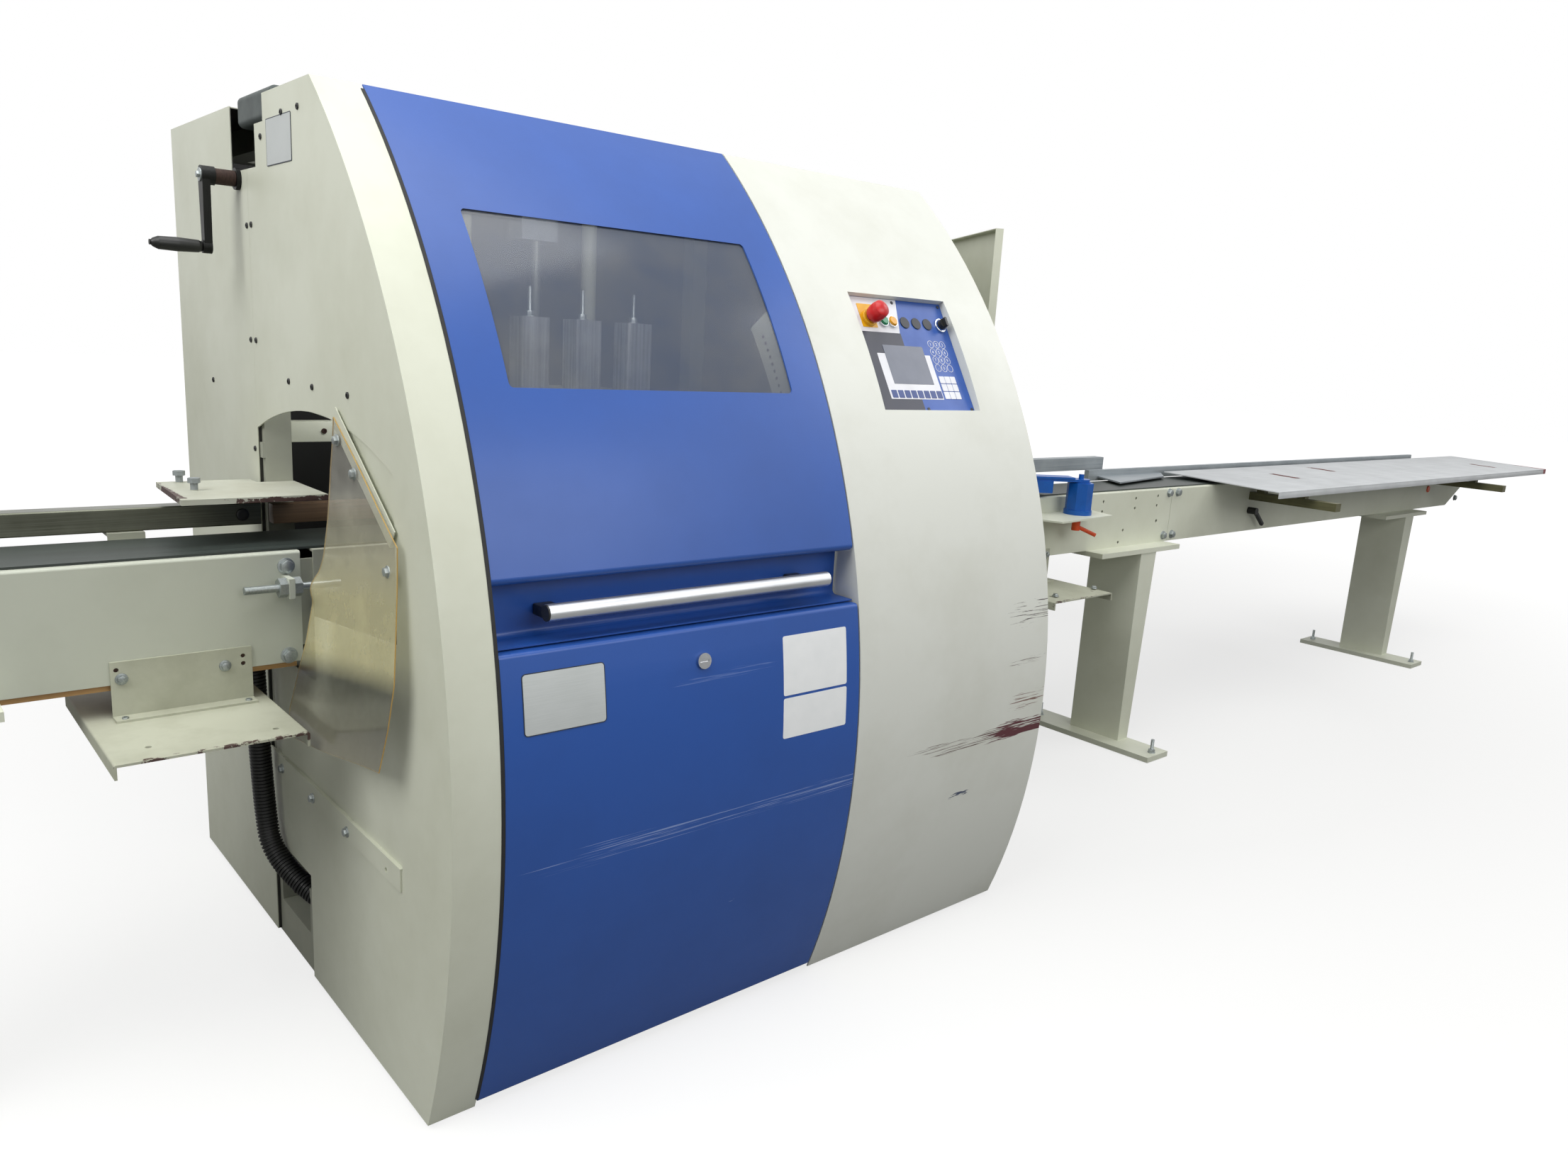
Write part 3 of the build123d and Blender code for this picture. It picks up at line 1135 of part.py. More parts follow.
def saw_blade():
    """Toothed blade with expansion slots."""
    points = []
    for k in range(BLADE_TEETH):
        a = 2 * pi * k / BLADE_TEETH
        step = 2 * pi / BLADE_TEETH
        for r, turn in ((BLADE_R - 9, 0.0), (BLADE_R, 0.08), (BLADE_R - 2, 0.40), (BLADE_R - 9, 0.62)):
            points.append((r * cos(a + turn * step), r * sin(a + turn * step)))
    disc = make_face(Polyline(*points, close=True)) - Circle(15 + RUN)
    for k in range(4):
        disc -= Rot(0, 0, 45 + 90 * k) * Pos(BLADE_R - 30, 0) * SlotOverall(70, 3)
    solid = extrude(Plane.YZ * disc, BLADE_T / 2, both=True)
    return Pos(BLADE_X, ARBOR_Y, ARBOR_Z) * solid


def lift_cylinder():
    """Pneumatic cylinder that lifts the saw."""
    bore_top = PISTON_Z + PISTON_H + SAW_LIFT + 30
    tube = rod_z(LIFT_BORE_R + 6, LIFT_X, LIFT_Y, RAIL_H, bore_top + 16)
    tube += block(LIFT_X - 30, LIFT_X + 30, LIFT_Y - 45, LIFT_Y + 45, RAIL_H, RAIL_H + 14)
    tube -= rod_z(LIFT_BORE_R, LIFT_X, LIFT_Y, RAIL_H + 40, bore_top)
    return tube - rod_z(ROD_LIFT_R + FIT, LIFT_X, LIFT_Y, bore_top - 4, bore_top + 17)


PRESS_Z = BELT_TOP + 257.0
PRESS_Y0 = BEAM_Y + 85.0
CYL_Y = BELT_MID + 15.0
CYL_XS = (SPINDLE_X - 125.0, SPINDLE_X + 2.0, SPINDLE_X + 133.0)
PISTON_R = 8.0
ROLLER_R = 30.0
ROLLER_XS = (SPINDLE_X - 60.0, SPINDLE_X + 68.0)
ROLLER_Z = PRESS_Z - 100.0
PIN_R = 8.0


def pressure_beam():
    """Height-adjustable plate on two guide bushes, with the spindle nut."""
    plate = block(COLUMN_XS[0] - 40, COLUMN_XS[1] + 40, PRESS_Y0, COLUMN_Y + 30, PRESS_Z, PRESS_Z + 24)
    for x in COLUMN_XS:
        plate += rod_z(30, x, COLUMN_Y, PRESS_Z - 40, PRESS_Z + 80)
        plate -= rod_z(COLUMN_R + RUN, x, COLUMN_Y, PRESS_Z - 41, PRESS_Z + 81)
    plate += rod_z(24, SPINDLE_X, CRANK_Y, PRESS_Z - 20, PRESS_Z + 50)
    plate -= rod_z(SPINDLE_R + RUN, SPINDLE_X, CRANK_Y, PRESS_Z - 21, PRESS_Z + 51)
    for x in CYL_XS:
        plate -= rod_z(PISTON_R + FIT, x, CYL_Y, PRESS_Z - 1, PRESS_Z + 25)
    return plate


def pressure_cylinders():
    """Three square-bodied cylinders on the pressure beam."""
    bodies = []
    z0, z1 = PRESS_Z + 24, PRESS_Z + 180
    for x in CYL_XS:
        body = block(x - 32, x + 32, CYL_Y - 32, CYL_Y + 32, z0, z1)
        body = fillet(body.edges().filter_by(Axis.Z), 6)
        bodies.append(body - rod_z(PISTON_R + FIT, x, CYL_Y, z0 - 1, z1 - 20))
    return Compound(children=bodies)


def pressure_frame():
    """Carrier of the pressure rollers on its three piston rods."""
    z1 = PRESS_Z - 46
    bar = block(CYL_XS[0] - 30, CYL_XS[2] + 30, CYL_Y - 24, CYL_Y + 24, z1 - 24, z1)
    half = 84.0
    for x in ROLLER_XS:
        bar += block(x - 24, x + 24, CYL_Y - half - 10, CYL_Y + half + 10, z1 - 10, z1)
        for y in (CYL_Y - half - 10, CYL_Y + half):
            bar += block(x - 16, x + 16, y, y + 10, ROLLER_Z - 16, z1)
            bar -= rod_y(PIN_R + RUN, x, y - 1, y + 11, ROLLER_Z)
    for x in ROLLER_XS:
        bar -= rod_y(ROLLER_R + 4, x, CYL_Y - half, CYL_Y + half, ROLLER_Z)
    for x in CYL_XS:
        bar += rod_z(PISTON_R, x, CYL_Y, z1 - 2, PRESS_Z + 120)
    return bar


def pressure_roller(x):
    """Rubber-faced roller on its pin."""
    roll = rod_y(ROLLER_R, x, CYL_Y - 80, CYL_Y + 80, ROLLER_Z)
    return roll + rod_y(PIN_R, x, CYL_Y - 98, CYL_Y + 98, ROLLER_Z)


GEAR_Z0 = CRANK_Z - 50.0


def lift_spindle():
    """Screw that raises the pressure beam."""
    return rod_z(SPINDLE_R, SPINDLE_X, CRANK_Y, PRESS_Z - 110, GEAR_Z0 + 24)


def crank_gearbox():
    """Closed bevel gearbox between the crank shaft and the spindle."""
    box = block(SPINDLE_X - 45, SPINDLE_X + 45, POST_Y1, CRANK_Y + 45, GEAR_Z0, CRANK_Z + 50)
    box += block(SPINDLE_X - 45, SPINDLE_X + 45, POST_Y0 + 10, POST_Y1 + 20, CRANK_Z + 50, FRAME_TOP - BAR)
    box -= rod_z(SPINDLE_R + RUN, SPINDLE_X, CRANK_Y, GEAR_Z0 - 1, GEAR_Z0 + 26)
    return box - rod_x(SHAFT_R + RUN, SPINDLE_X - 46, SPINDLE_X - 16, CRANK_Y, CRANK_Z)


GRIP_PIN_R = 5.0


def hand_crank():
    """Crank shaft with its collar and sleeve, tapered arm and the pin of the grip."""
    crank = rod_x(SHAFT_R, XL - 60, SPINDLE_X - 18, CRANK_Y, CRANK_Z)
    crank += rod_x(20, XL - 8, XL - FIT, CRANK_Y, CRANK_Z)
    crank += rod_x(13, XL - 44, XL - 8, CRANK_Y, CRANK_Z)
    crank += rod_x(17, XL - 68, XL - 44, CRANK_Y, CRANK_Z)
    z_end = CRANK_Z - CRANK_ARM
    taper = [(CRANK_Y - 15, CRANK_Z), (CRANK_Y + 15, CRANK_Z), (CRANK_Y + 10, z_end), (CRANK_Y - 10, z_end)]
    crank += prism_x(taper, XL - 68, XL - 54)
    crank += rod_x(12, XL - 70, XL - 54, CRANK_Y, z_end)
    return crank + rod_x(GRIP_PIN_R, XL - 160, XL - 60, CRANK_Y, z_end)


def crank_grip():
    """Turning grip on the crank's pin."""
    z = CRANK_Z - CRANK_ARM
    outline = [(0, GRIP_PIN_R + RUN), (0, 9), (6, 11.5), (40, 13), (74, 12), (83, 8), (86, GRIP_PIN_R + RUN)]
    body = revolve(make_face(Polyline(*outline, close=True)), Axis.X)
    return Pos(XL - 71, CRANK_Y, z) * Rot(0, 180, 0) * body


ECAB_X0 = XR + FIT
ECAB_X1 = XR + ECAB_W
ECAB_Y0 = YF + ECAB_SET
DOOR_T = 22.0
HINGE_X = ECAB_X1 + 2.0
HINGE_Y = ECAB_Y0 - DOOR_T - 2.0
HINGE_ZS = (DOOR_Z + 90.0, ECAB_H - 120.0)
HINGE_PIN_R = 5.0
HINGE_R = 8.0


def electrical_cabinet():
    """Sheet cabinet with an open upper bay, mounting plate and hinge pins."""
    y1 = ECAB_Y0 + ECAB_D
    t = 3.0
    shell = block(ECAB_X0, ECAB_X1, ECAB_Y0, y1, 0, ECAB_H)
    shell -= block(ECAB_X0 + t, ECAB_X1 - t, ECAB_Y0 + t, y1 - t, t, DOOR_Z - t)
    shell -= block(ECAB_X0 + t, ECAB_X1 - t, ECAB_Y0 + t, y1 - t, DOOR_Z, ECAB_H - t)
    shell -= block(ECAB_X0 + 26, ECAB_X1 - 26, ECAB_Y0 - 1, ECAB_Y0 + 20, DOOR_Z + 20, ECAB_H - 22)
    shell -= block(ECAB_X0 + 120, ECAB_X0 + 300, ECAB_Y0 + 100, y1 - 100, DOOR_Z - 10, DOOR_Z + 1)
    shell -= block(ECAB_X0 + 200, ECAB_X0 + 260, ECAB_Y0 + 150, y1 - 150, -1, t + 1)
    plate_y = y1 - 30
    shell += block(ECAB_X0 + 40, ECAB_X1 - 40, plate_y, plate_y + 3, DOOR_Z + 30, ECAB_H - 30)
    for x in (ECAB_X0 + 60, ECAB_X1 - 60):
        for z in (DOOR_Z + 60, ECAB_H - 60):
            shell += rod_y(8, x, plate_y, y1 - 1, z)
    for z in HINGE_ZS:
        shell += block(ECAB_X1 - 2, ECAB_X1 + 4, HINGE_Y + 4, ECAB_Y0 + 40, z - 40, z)
        shell += rod_z(HINGE_R, HINGE_X, HINGE_Y, z - 40, z)
        shell += rod_z(HINGE_PIN_R, HINGE_X, HINGE_Y, z - 10, z + 36)
    return shell


def electrical_door():
    """Vented door with a folded rim, drawn shut and swung to its open rest."""
    x0, x1 = ECAB_X0 + 9, HINGE_X - HINGE_R - 2
    y0, y1 = ECAB_Y0 - DOOR_T - 1, ECAB_Y0 - 1
    z0, z1 = DOOR_Z + 4, ECAB_H - 2
    door = block(x0, x1, y0, y1, z0, z1) - block(x0 + 2, x1 - 2, y0 + 2, y1 + 1, z0 + 2, z1 - 2)
    for k in range(7):
        z = z0 + 70 + 16 * k
        door -= block(x0 + 170, x0 + 330, y0 - 1, y0 + 3, z, z + 7)
    door += block(x0 + 26, x0 + 34, y0 + 2, y0 + 12, z0 + 40, z1 - 40)
    for z in HINGE_ZS:
        barrel = rod_z(HINGE_R, HINGE_X, HINGE_Y, z + FIT, z + 36)
        barrel += block(x1 - 12, HINGE_X, y0, y0 + 3, z + FIT, z + 36)
        door += barrel
        door -= rod_z(HINGE_PIN_R + RUN, HINGE_X, HINGE_Y, z - 1, z + 37)
    return Pos(HINGE_X, HINGE_Y, 0) * Rot(0, 0, DOOR_OPEN) * Pos(-HINGE_X, -HINGE_Y, 0) * door


CONDUIT_RIBS = 48


def cable_conduit():
    """Ribbed conduit from the infeed beam down into the cabinet's foot."""
    start = (CONDUIT_X - 7, CONDUIT_Y, CONDUIT_TOP)
    points = [start, CONDUIT_TURN, CONDUIT_BEND, CONDUIT_END]
    legs = [Vector(*b) - Vector(*a) for a, b in zip(points, points[1:])]
    turn = radians(max(a.get_angle(b) for a, b in zip(legs, legs[1:])))
    radius = 0.45 * min(legs[1].length, legs[2].length) / tan(turn / 2)
    print("conduit bend radius", round(radius, 1), "mm")
    path = FilletPolyline(*points, radius=radius)
    crest, root = CONDUIT_R, CONDUIT_R - 2.6
    pitch = path.length / CONDUIT_RIBS
    sections = []
    for k in range(CONDUIT_RIBS):
        for part, r in ((0.02, root), (0.30, root), (0.48, crest), (0.84, crest)):
            at = (k + part) * pitch / path.length
            plane = Plane(origin=path @ at, x_dir=(1, 0, 0), z_dir=path % at)
            sections.append(plane * Circle(r))
    hose = loft(sections, ruled=True)
    mouth = Plane(origin=path @ 0, x_dir=(1, 0, 0), z_dir=path % 0)
    return hose - sweep(mouth * Circle(CONDUIT_R - 5), path=path)


NODES = {
    "base_frame": base_frame(),
    "left_side_panel": left_side_panel(),
    "left_infill_panel": left_infill_panel(),
    "infeed_curtain": infeed_curtain(),
    "right_panel": right_panel(),
    "rear_casing": rear_casing(),
    "top_panel": top_panel(),
    "cable_connector": cable_connector(),
    "hood_panel": hood_panel(),
    "hood_window": hood_window(),
    "door_handle": door_handle(),
    "handle_brackets": handle_brackets(),
    "lower_panel": lower_panel(),
    "cover_lock": cover_lock(),
    "control_plate": control_plate(),
    "emergency_stop": emergency_stop(),
    "start_button": push_button(START_UV),
    "reset_button": push_button(RESET_UV),
    "selector_knob": selector_knob(),
    "infeed_beam": infeed_beam(),
    "infeed_belt": belt_loop(IN_TAIL_X, IN_DRIVE_X),
    "infeed_tail_drum": drum(IN_TAIL_X),
    "infeed_drive_drum": drum(IN_DRIVE_X),
    "infeed_fence": infeed_fence(),
    "infeed_guide_plate": infeed_guide_plate(),
    "side_shelves": side_shelves(),
    "belt_tension_rod": belt_tension_rod(),
    "outfeed_beam_near": outfeed_beam_near(),
    "outfeed_beam_far": outfeed_beam_far(),
    "outfeed_belt": belt_loop(OUT_DRIVE_X, OUT_TAIL_X),
    "outfeed_drive_drum": drum(OUT_DRIVE_X),
    "outfeed_tail_drum": drum(OUT_TAIL_X),
    "outfeed_fence": outfeed_fence(),
    "entry_rail": entry_rail(),
    "fence_brackets": fence_brackets(),
    "side_table": side_table(),
    "table_arms": table_arms(),
    "conveyor_legs": conveyor_legs(),
    "tensioner_body": tensioner_body(),
    "tensioner_arm": tensioner_arm(),
    "tensioner_lever": tensioner_lever(),
    "clamp_lever": clamp_lever(),
    "saw_table": saw_table(),
    "saw_carriage": saw_carriage(),
    "saw_motor": saw_motor(),
    "saw_arbor": saw_arbor(),
    "saw_blade": saw_blade(),
    "lift_cylinder": lift_cylinder(),
    "pressure_beam": pressure_beam(),
    "pressure_cylinders": pressure_cylinders(),
    "pressure_frame": pressure_frame(),
    "front_roller": pressure_roller(ROLLER_XS[0]),
    "rear_roller": pressure_roller(ROLLER_XS[1]),
    "lift_spindle": lift_spindle(),
    "crank_gearbox": crank_gearbox(),
    "hand_crank": hand_crank(),
    "crank_grip": crank_grip(),
    "electrical_cabinet": electrical_cabinet(),
    "electrical_door": electrical_door(),
    "cable_conduit": cable_conduit(),
}

for name, shape in NODES.items():
    export_step(shape, f"parts/{name}.step")
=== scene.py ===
# %% [markdown]
# # Dressing an optimizing crosscut saw
# The solids of the machine come in as a fixed frame, in metres, each sheet and lever where it belongs.
# This lesson gives them their paint, metal, rubber and glass, and adds the small things that a sheet
# metal drawing leaves out: bolts, plates, keys, seals, the hanging curtain and the ribbed hose.

# %% Load the frame
import json
from math import asin, cos, degrees, pi, radians, sin
import bpy
from mathutils import Matrix, Vector


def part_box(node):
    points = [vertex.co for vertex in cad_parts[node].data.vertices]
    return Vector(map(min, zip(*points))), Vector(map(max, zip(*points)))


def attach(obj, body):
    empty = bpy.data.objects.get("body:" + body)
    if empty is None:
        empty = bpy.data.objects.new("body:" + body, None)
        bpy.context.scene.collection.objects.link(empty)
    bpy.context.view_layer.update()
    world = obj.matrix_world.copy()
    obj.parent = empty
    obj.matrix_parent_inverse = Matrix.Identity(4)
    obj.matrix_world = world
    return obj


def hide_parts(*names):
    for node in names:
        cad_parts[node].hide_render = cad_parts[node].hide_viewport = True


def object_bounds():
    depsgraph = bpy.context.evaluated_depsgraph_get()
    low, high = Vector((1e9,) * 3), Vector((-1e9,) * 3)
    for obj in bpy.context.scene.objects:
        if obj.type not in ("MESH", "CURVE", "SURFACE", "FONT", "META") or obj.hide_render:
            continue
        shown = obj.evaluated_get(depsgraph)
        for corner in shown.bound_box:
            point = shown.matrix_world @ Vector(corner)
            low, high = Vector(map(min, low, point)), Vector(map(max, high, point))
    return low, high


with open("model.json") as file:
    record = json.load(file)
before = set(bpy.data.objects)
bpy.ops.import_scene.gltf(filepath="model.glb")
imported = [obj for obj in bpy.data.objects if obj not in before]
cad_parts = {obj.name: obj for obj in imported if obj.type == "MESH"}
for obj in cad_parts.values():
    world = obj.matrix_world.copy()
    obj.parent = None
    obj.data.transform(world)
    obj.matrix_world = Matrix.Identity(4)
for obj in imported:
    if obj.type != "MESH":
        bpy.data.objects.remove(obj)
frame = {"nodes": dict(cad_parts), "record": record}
cad_low, cad_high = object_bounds()
print("frame:", len(frame["nodes"]), "nodes,", [round(v, 3) for v in cad_high - cad_low], "m")

# %% [markdown]
# ## The photographer's place
# A picture's edges that run along the feed, across it and upwards meet in three vanishing points, and
# these give the lens and the way the camera looked. It stood a little beyond the infeed end, at eye
# height, tilted slightly, with a wide lens, so the near side of the cabinet looms.

# %% Camera
MM = 0.001
eye = Vector((-3056.5, -2229.5, 1308.0)) * MM
yaw, pitch, roll = 0.7214, 0.2153, 0.0596
forward = Vector((sin(yaw) * cos(pitch), cos(yaw) * cos(pitch), -sin(pitch)))
level = Vector((cos(yaw), -sin(yaw), 0.0))
upright = level.cross(forward)
side = cos(roll) * level + sin(roll) * upright
top = cos(roll) * upright - sin(roll) * level

lens = bpy.data.cameras.new("photo_lens")
lens.lens = 25.74
lens.sensor_width = 36.0
lens.clip_end = 60.0
camera = bpy.data.objects.new("photo_camera", lens)
bpy.context.scene.collection.objects.link(camera)
camera.matrix_world = Matrix.Translation(eye) @ Matrix((side, top, -forward)).transposed().to_4x4()
bpy.context.scene.camera = camera
print("camera at", [round(v, 3) for v in eye], "with a lens of", lens.lens, "mm")

# %% [markdown]
# ## Colours and nodes
# Colours are read off as the hex values a paint program shows. Shaders work in linear light, so one
# function turns them round. The next plugs a number, a colour or another node into a socket, and one adds
# a shader node with its settings. The last two feed a material's shader, and open a new material with the
# coordinates that patterns are drawn on.

# %% Colour and node helpers
def linear(code):
    """Linear colour of an sRGB hex value."""
    parts = [int(code[i : i + 2], 16) / 255 for i in (1, 3, 5)]
    return [c / 12.92 if c <= 0.04045 else ((c + 0.055) / 1.055) ** 2.4 for c in parts] + [1.0]


def plug(tree, value, socket):
    """Sets a socket to a number or a hex colour, or links it to a socket or a node's first output."""
    if isinstance(value, bpy.types.Node):
        value = value.outputs[0]
    if isinstance(value, bpy.types.NodeSocket):
        tree.links.new(value, socket)
    else:
        socket.default_value = linear(value) if isinstance(value, str) else value


def add(tree, kind, inputs=None, **settings):
    """Adds a shader node with its settings, and plugs its inputs."""
    made = tree.nodes.new("ShaderNode" + kind)
    for key, value in settings.items():
        setattr(made, key, value)
    for key, value in (inputs or {}).items():
        plug(tree, value, made.inputs[key])
    return made


def feed(tree, shader, **sockets):
    """Plugs values or nodes into the shader's sockets, which are named in small letters."""
    for key, value in sockets.items():
        plug(tree, value, shader.inputs[key.replace("_", " ").title().replace("Ior", "IOR")])


def open_finish(name, **sockets):
    """New material: the material, its node tree, its shader and the object coordinates."""
    material = bpy.data.materials.new(name)
    material.use_nodes = True
    tree = material.node_tree
    shader = tree.nodes["Principled BSDF"]
    feed(tree, shader, **sockets)
    return material, tree, shader, add(tree, "TexCoord").outputs["Object"]


print("linear mid grey:", [round(c, 3) for c in linear("#808080")[:3]])

# %% [markdown]
# ## The ribbed hose
# A black corrugated hose takes the cables from the box behind the infeed beam down the cabinet's left
# side and into its foot. It follows one smooth line through four points. The line is a NURBS curve; its
# points are read back from it, and rings of a wider and a narrower radius are set along them, which
# gives the ribs that the hose is made with.

# %% Hose along its line
HOSE_ROUTE = [(-2426.5, 86.0, 693.0), (-2419.5, 88.0, 330.0)]
HOSE_ROUTE += [(-2415.5, 31.0, 190.0), (-2341.5, -101.0, 135.0)]


def smooth_line(name, points, steps):
    """Points along a NURBS spline through the route, read from a curve with no bevel."""
    curve = bpy.data.curves.new(name, "CURVE")
    curve.dimensions = "3D"
    spline = curve.splines.new("NURBS")
    spline.points.add(len(points) - 1)
    for point, place in zip(spline.points, points):
        point.co = (*(c * MM for c in place), 1.0)
    spline.order_u = 3
    spline.use_endpoint_u = True
    spline.resolution_u = steps
    holder = bpy.data.objects.new(name, curve)
    bpy.context.scene.collection.objects.link(holder)
    bpy.context.view_layer.update()
    mesh = bpy.data.meshes.new_from_object(holder)
    line = [v.co.copy() for v in mesh.vertices]
    bpy.data.objects.remove(holder)
    bpy.data.meshes.remove(mesh)
    return line


hose_line = smooth_line("hose_line", HOSE_ROUTE, 90)
hose_length = sum((b - a).length for a, b in zip(hose_line, hose_line[1:]))
print("hose:", len(hose_line), "points,", round(hose_length, 4), "m")

# %% Editing helpers
def close_edit():
    """Goes back to object mode, which writes the edited mesh to its piece."""
    bpy.ops.object.mode_set(mode="OBJECT")


def deselect():
    """Leaves nothing selected, in object mode."""
    if bpy.context.mode != "OBJECT":
        close_edit()
    bpy.ops.object.select_all(action="DESELECT")


def edit(piece, kind="FACE"):
    """Makes a piece the active one, with nothing selected in its mesh."""
    deselect()
    bpy.context.view_layer.objects.active = piece
    piece.select_set(True)
    bpy.ops.object.mode_set(mode="EDIT")
    bpy.ops.mesh.select_mode(type=kind)
    bpy.ops.mesh.select_all(action="DESELECT")
    close_edit()


def open_all(piece, kind="FACE"):
    """Opens a piece for editing with all of its mesh selected."""
    edit(piece, kind)
    bpy.ops.object.mode_set(mode="EDIT")
    bpy.ops.mesh.select_all(action="SELECT")


def mesh_piece(name, points, faces):
    """New piece from points and faces."""
    mesh = bpy.data.meshes.new(name)
    mesh.from_pydata(points, [], faces)
    piece = bpy.data.objects.new(name, mesh)
    bpy.context.scene.collection.objects.link(piece)
    return piece


print("editing starts in mode", bpy.context.mode)

# %% Rings along the line
HOSE_R, HOSE_ROOT, HOSE_PITCH, HOSE_SIDES = 21.0 * MM, 18.2 * MM, 7.2 * MM, 28
RIB_FORM = ((0.0, HOSE_ROOT), (0.28, HOSE_ROOT), (0.42, HOSE_R), (0.86, HOSE_R))


def along(line, distance):
    """Place and direction at a distance along a line of points."""
    for a, b in zip(line, line[1:]):
        step = (b - a).length
        if distance <= step:
            return a.lerp(b, distance / step), (b - a).normalized()
        distance -= step
    return line[-1].copy(), (line[-1] - line[-2]).normalized()


def ring(place, direction, radius):
    """Points round the line at one place."""
    across = direction.cross(Vector((1, 0, 0))).normalized()
    other = direction.cross(across).normalized()
    turns = [2 * pi * k / HOSE_SIDES for k in range(HOSE_SIDES)]
    return [place + radius * (cos(t) * across + sin(t) * other) for t in turns]


ribs = round(hose_length / HOSE_PITCH)
corners = []
for k in range(ribs):
    for share, radius in RIB_FORM:
        corners += ring(*along(hose_line, (k + share) * hose_length / ribs), radius)
corners += ring(*along(hose_line, hose_length), HOSE_ROOT)
last = len(corners) - HOSE_SIDES
faces = []
for start in range(0, last, HOSE_SIDES):
    for j in range(HOSE_SIDES):
        a, b = start + j, start + (j + 1) % HOSE_SIDES
        faces.append((a, b, b + HOSE_SIDES, a + HOSE_SIDES))
faces.append(tuple(reversed(range(HOSE_SIDES))))
faces.append(tuple(last + j for j in range(HOSE_SIDES)))
hose = mesh_piece("cable_hose", corners, faces)
open_all(hose)
bpy.ops.mesh.remove_doubles(threshold=1e-6)
bpy.ops.mesh.normals_make_consistent(inside=False)
close_edit()
bpy.ops.object.shade_smooth_by_angle(angle=radians(28))
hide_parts("cable_conduit")
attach(hose, "cabinet")
print("hose ribs:", ribs, "faces:", len(hose.data.polygons))

# %% [markdown]
# ## Floor, world and light
# The machine stands on a plain pale floor. The world is white to the eye and in reflections, and gives a
# softer grey light to surfaces. Most of the light comes from a wide overhead panel, as it does under a
# workshop roof, which is why the hood's upper slope is pale and the cover below it stays deep blue.

# %% Floor and world
deselect()
bpy.ops.mesh.primitive_plane_add(size=60.0, location=(0.5, 0.5, cad_low.z - 2 * MM))
floor = bpy.context.object
floor.name = "studio_floor"

floor_paint, tree, shader, spot = open_finish(
    "pale_floor", base_color="#868684", roughness=0.9, specular_ior_level=0.1
)
ray = add(tree, "LightPath").outputs
mirrored = add(tree, "Math", {0: ray["Is Glossy Ray"], 1: ray["Is Transmission Ray"]}, operation="MAXIMUM")
mirrored = add(tree, "Math", {0: mirrored, 1: 0.15}, operation="MULTIPLY")
seen = add(tree, "Math", {0: ray["Is Camera Ray"], 1: mirrored}, operation="MAXIMUM")
# Close to the machine the floor keeps its shadow; it pales from 1.5 m to 7 m away
away = add(tree, "VectorMath", {0: spot}, operation="LENGTH").outputs["Value"]
reach = {"From Min": 1.5, "From Max": 7.0, "To Min": 0.68, "To Max": 0.98}
paler = add(tree, "MapRange", {"Value": away, **reach})
strength = add(tree, "Math", {0: paler, 1: seen}, operation="MULTIPLY")
glow = add(tree, "Emission", {"Color": "#FFFFFF", "Strength": strength})
plug(tree, add(tree, "AddShader", {0: shader, 1: glow}), tree.nodes["Material Output"].inputs["Surface"])
floor.data.materials.append(floor_paint)

world = bpy.data.worlds.new("studio_world")
bpy.context.scene.world = world
world.use_nodes = True
tree = world.node_tree
ray = add(tree, "LightPath").outputs
seen = add(tree, "Math", {0: ray["Is Camera Ray"], 1: ray["Is Glossy Ray"]}, operation="MAXIMUM")
seen = add(tree, "Math", {0: seen, 1: ray["Is Transmission Ray"]}, operation="MAXIMUM")
strength = add(tree, "MapRange", {"Value": seen, "To Min": 0.17, "To Max": 1.0})
feed(tree, tree.nodes["Background"], color="#FFFFFF", strength=strength)

bpy.context.scene.view_settings.view_transform = "Standard"
print("floor and world ready")

# %% Lamps
LAMPS = {  # name: place, aim and size in metres, watts
    "roof_light": ((-2.2, -1.0, 5.0), (-2.0, -0.8, 0.0), (4.0, 3.4), 124.0),
    "front_light": ((-0.8, -5.2, 3.2), (-1.0, 0.0, 0.8), (4.5, 2.2), 102.0),
    "left_light": ((-5.3, -0.8, 3.7), (-2.4, -0.3, 1.3), (3.2, 2.6), 116.0),
    "outfeed_light": ((3.9, -2.2, 4.6), (2.4, -0.4, 0.6), (3.2, 3.0), 96.0),
    "chamber_light": ((-1.85, -0.28, 1.56), (-1.80, -0.05, 1.22), (0.6, 0.12), 5.0),
}
for name, (place, aim, size, watts) in LAMPS.items():
    lamp = bpy.data.lights.new(name, "AREA")
    lamp.shape = "RECTANGLE"
    lamp.size, lamp.size_y = size
    lamp.energy = watts
    holder = bpy.data.objects.new(name, lamp)
    bpy.context.scene.collection.objects.link(holder)
    look = (Vector(aim) - Vector(place)).to_track_quat("-Z", "Y")
    holder.matrix_world = Matrix.Translation(place) @ look.to_matrix().to_4x4()
print("lamps:", len(LAMPS))

# %% [markdown]
# ## Paint
# The sheets are powder coated: a dry paint melted on, which leaves a fine orange peel and a satin gloss.
# Handling leaves soft grey patches a few hundred millimetres across. Timber and pallets have scraped along
# the front at a few heights, so a noise stretched along the feed gives thin level lines, and a box with soft
# sides says where they may be.

# %% Patches, lines and marks on a surface
def per(size_mm):
    """Scale of a noise whose patches are about this many millimetres across."""
    return 1.0 / (size_mm * MM)


def clouded(tree, spot, size_mm, colours, least, most, share, detail, rough=0.5):
    """Soft patches of a second colour: the noise behind them, and the tint."""
    fineness = {"Scale": per(size_mm), "Detail": detail, "Roughness": rough}
    clouds = add(tree, "TexNoise", {"Vector": spot, **fineness})
    amount = add(tree, "MapRange", {"Value": clouds, "From Min": least, "From Max": most, "To Max": share})
    return clouds, add(tree, "MixRGB", {"Fac": amount, "Color1": colours[0], "Color2": colours[1]})


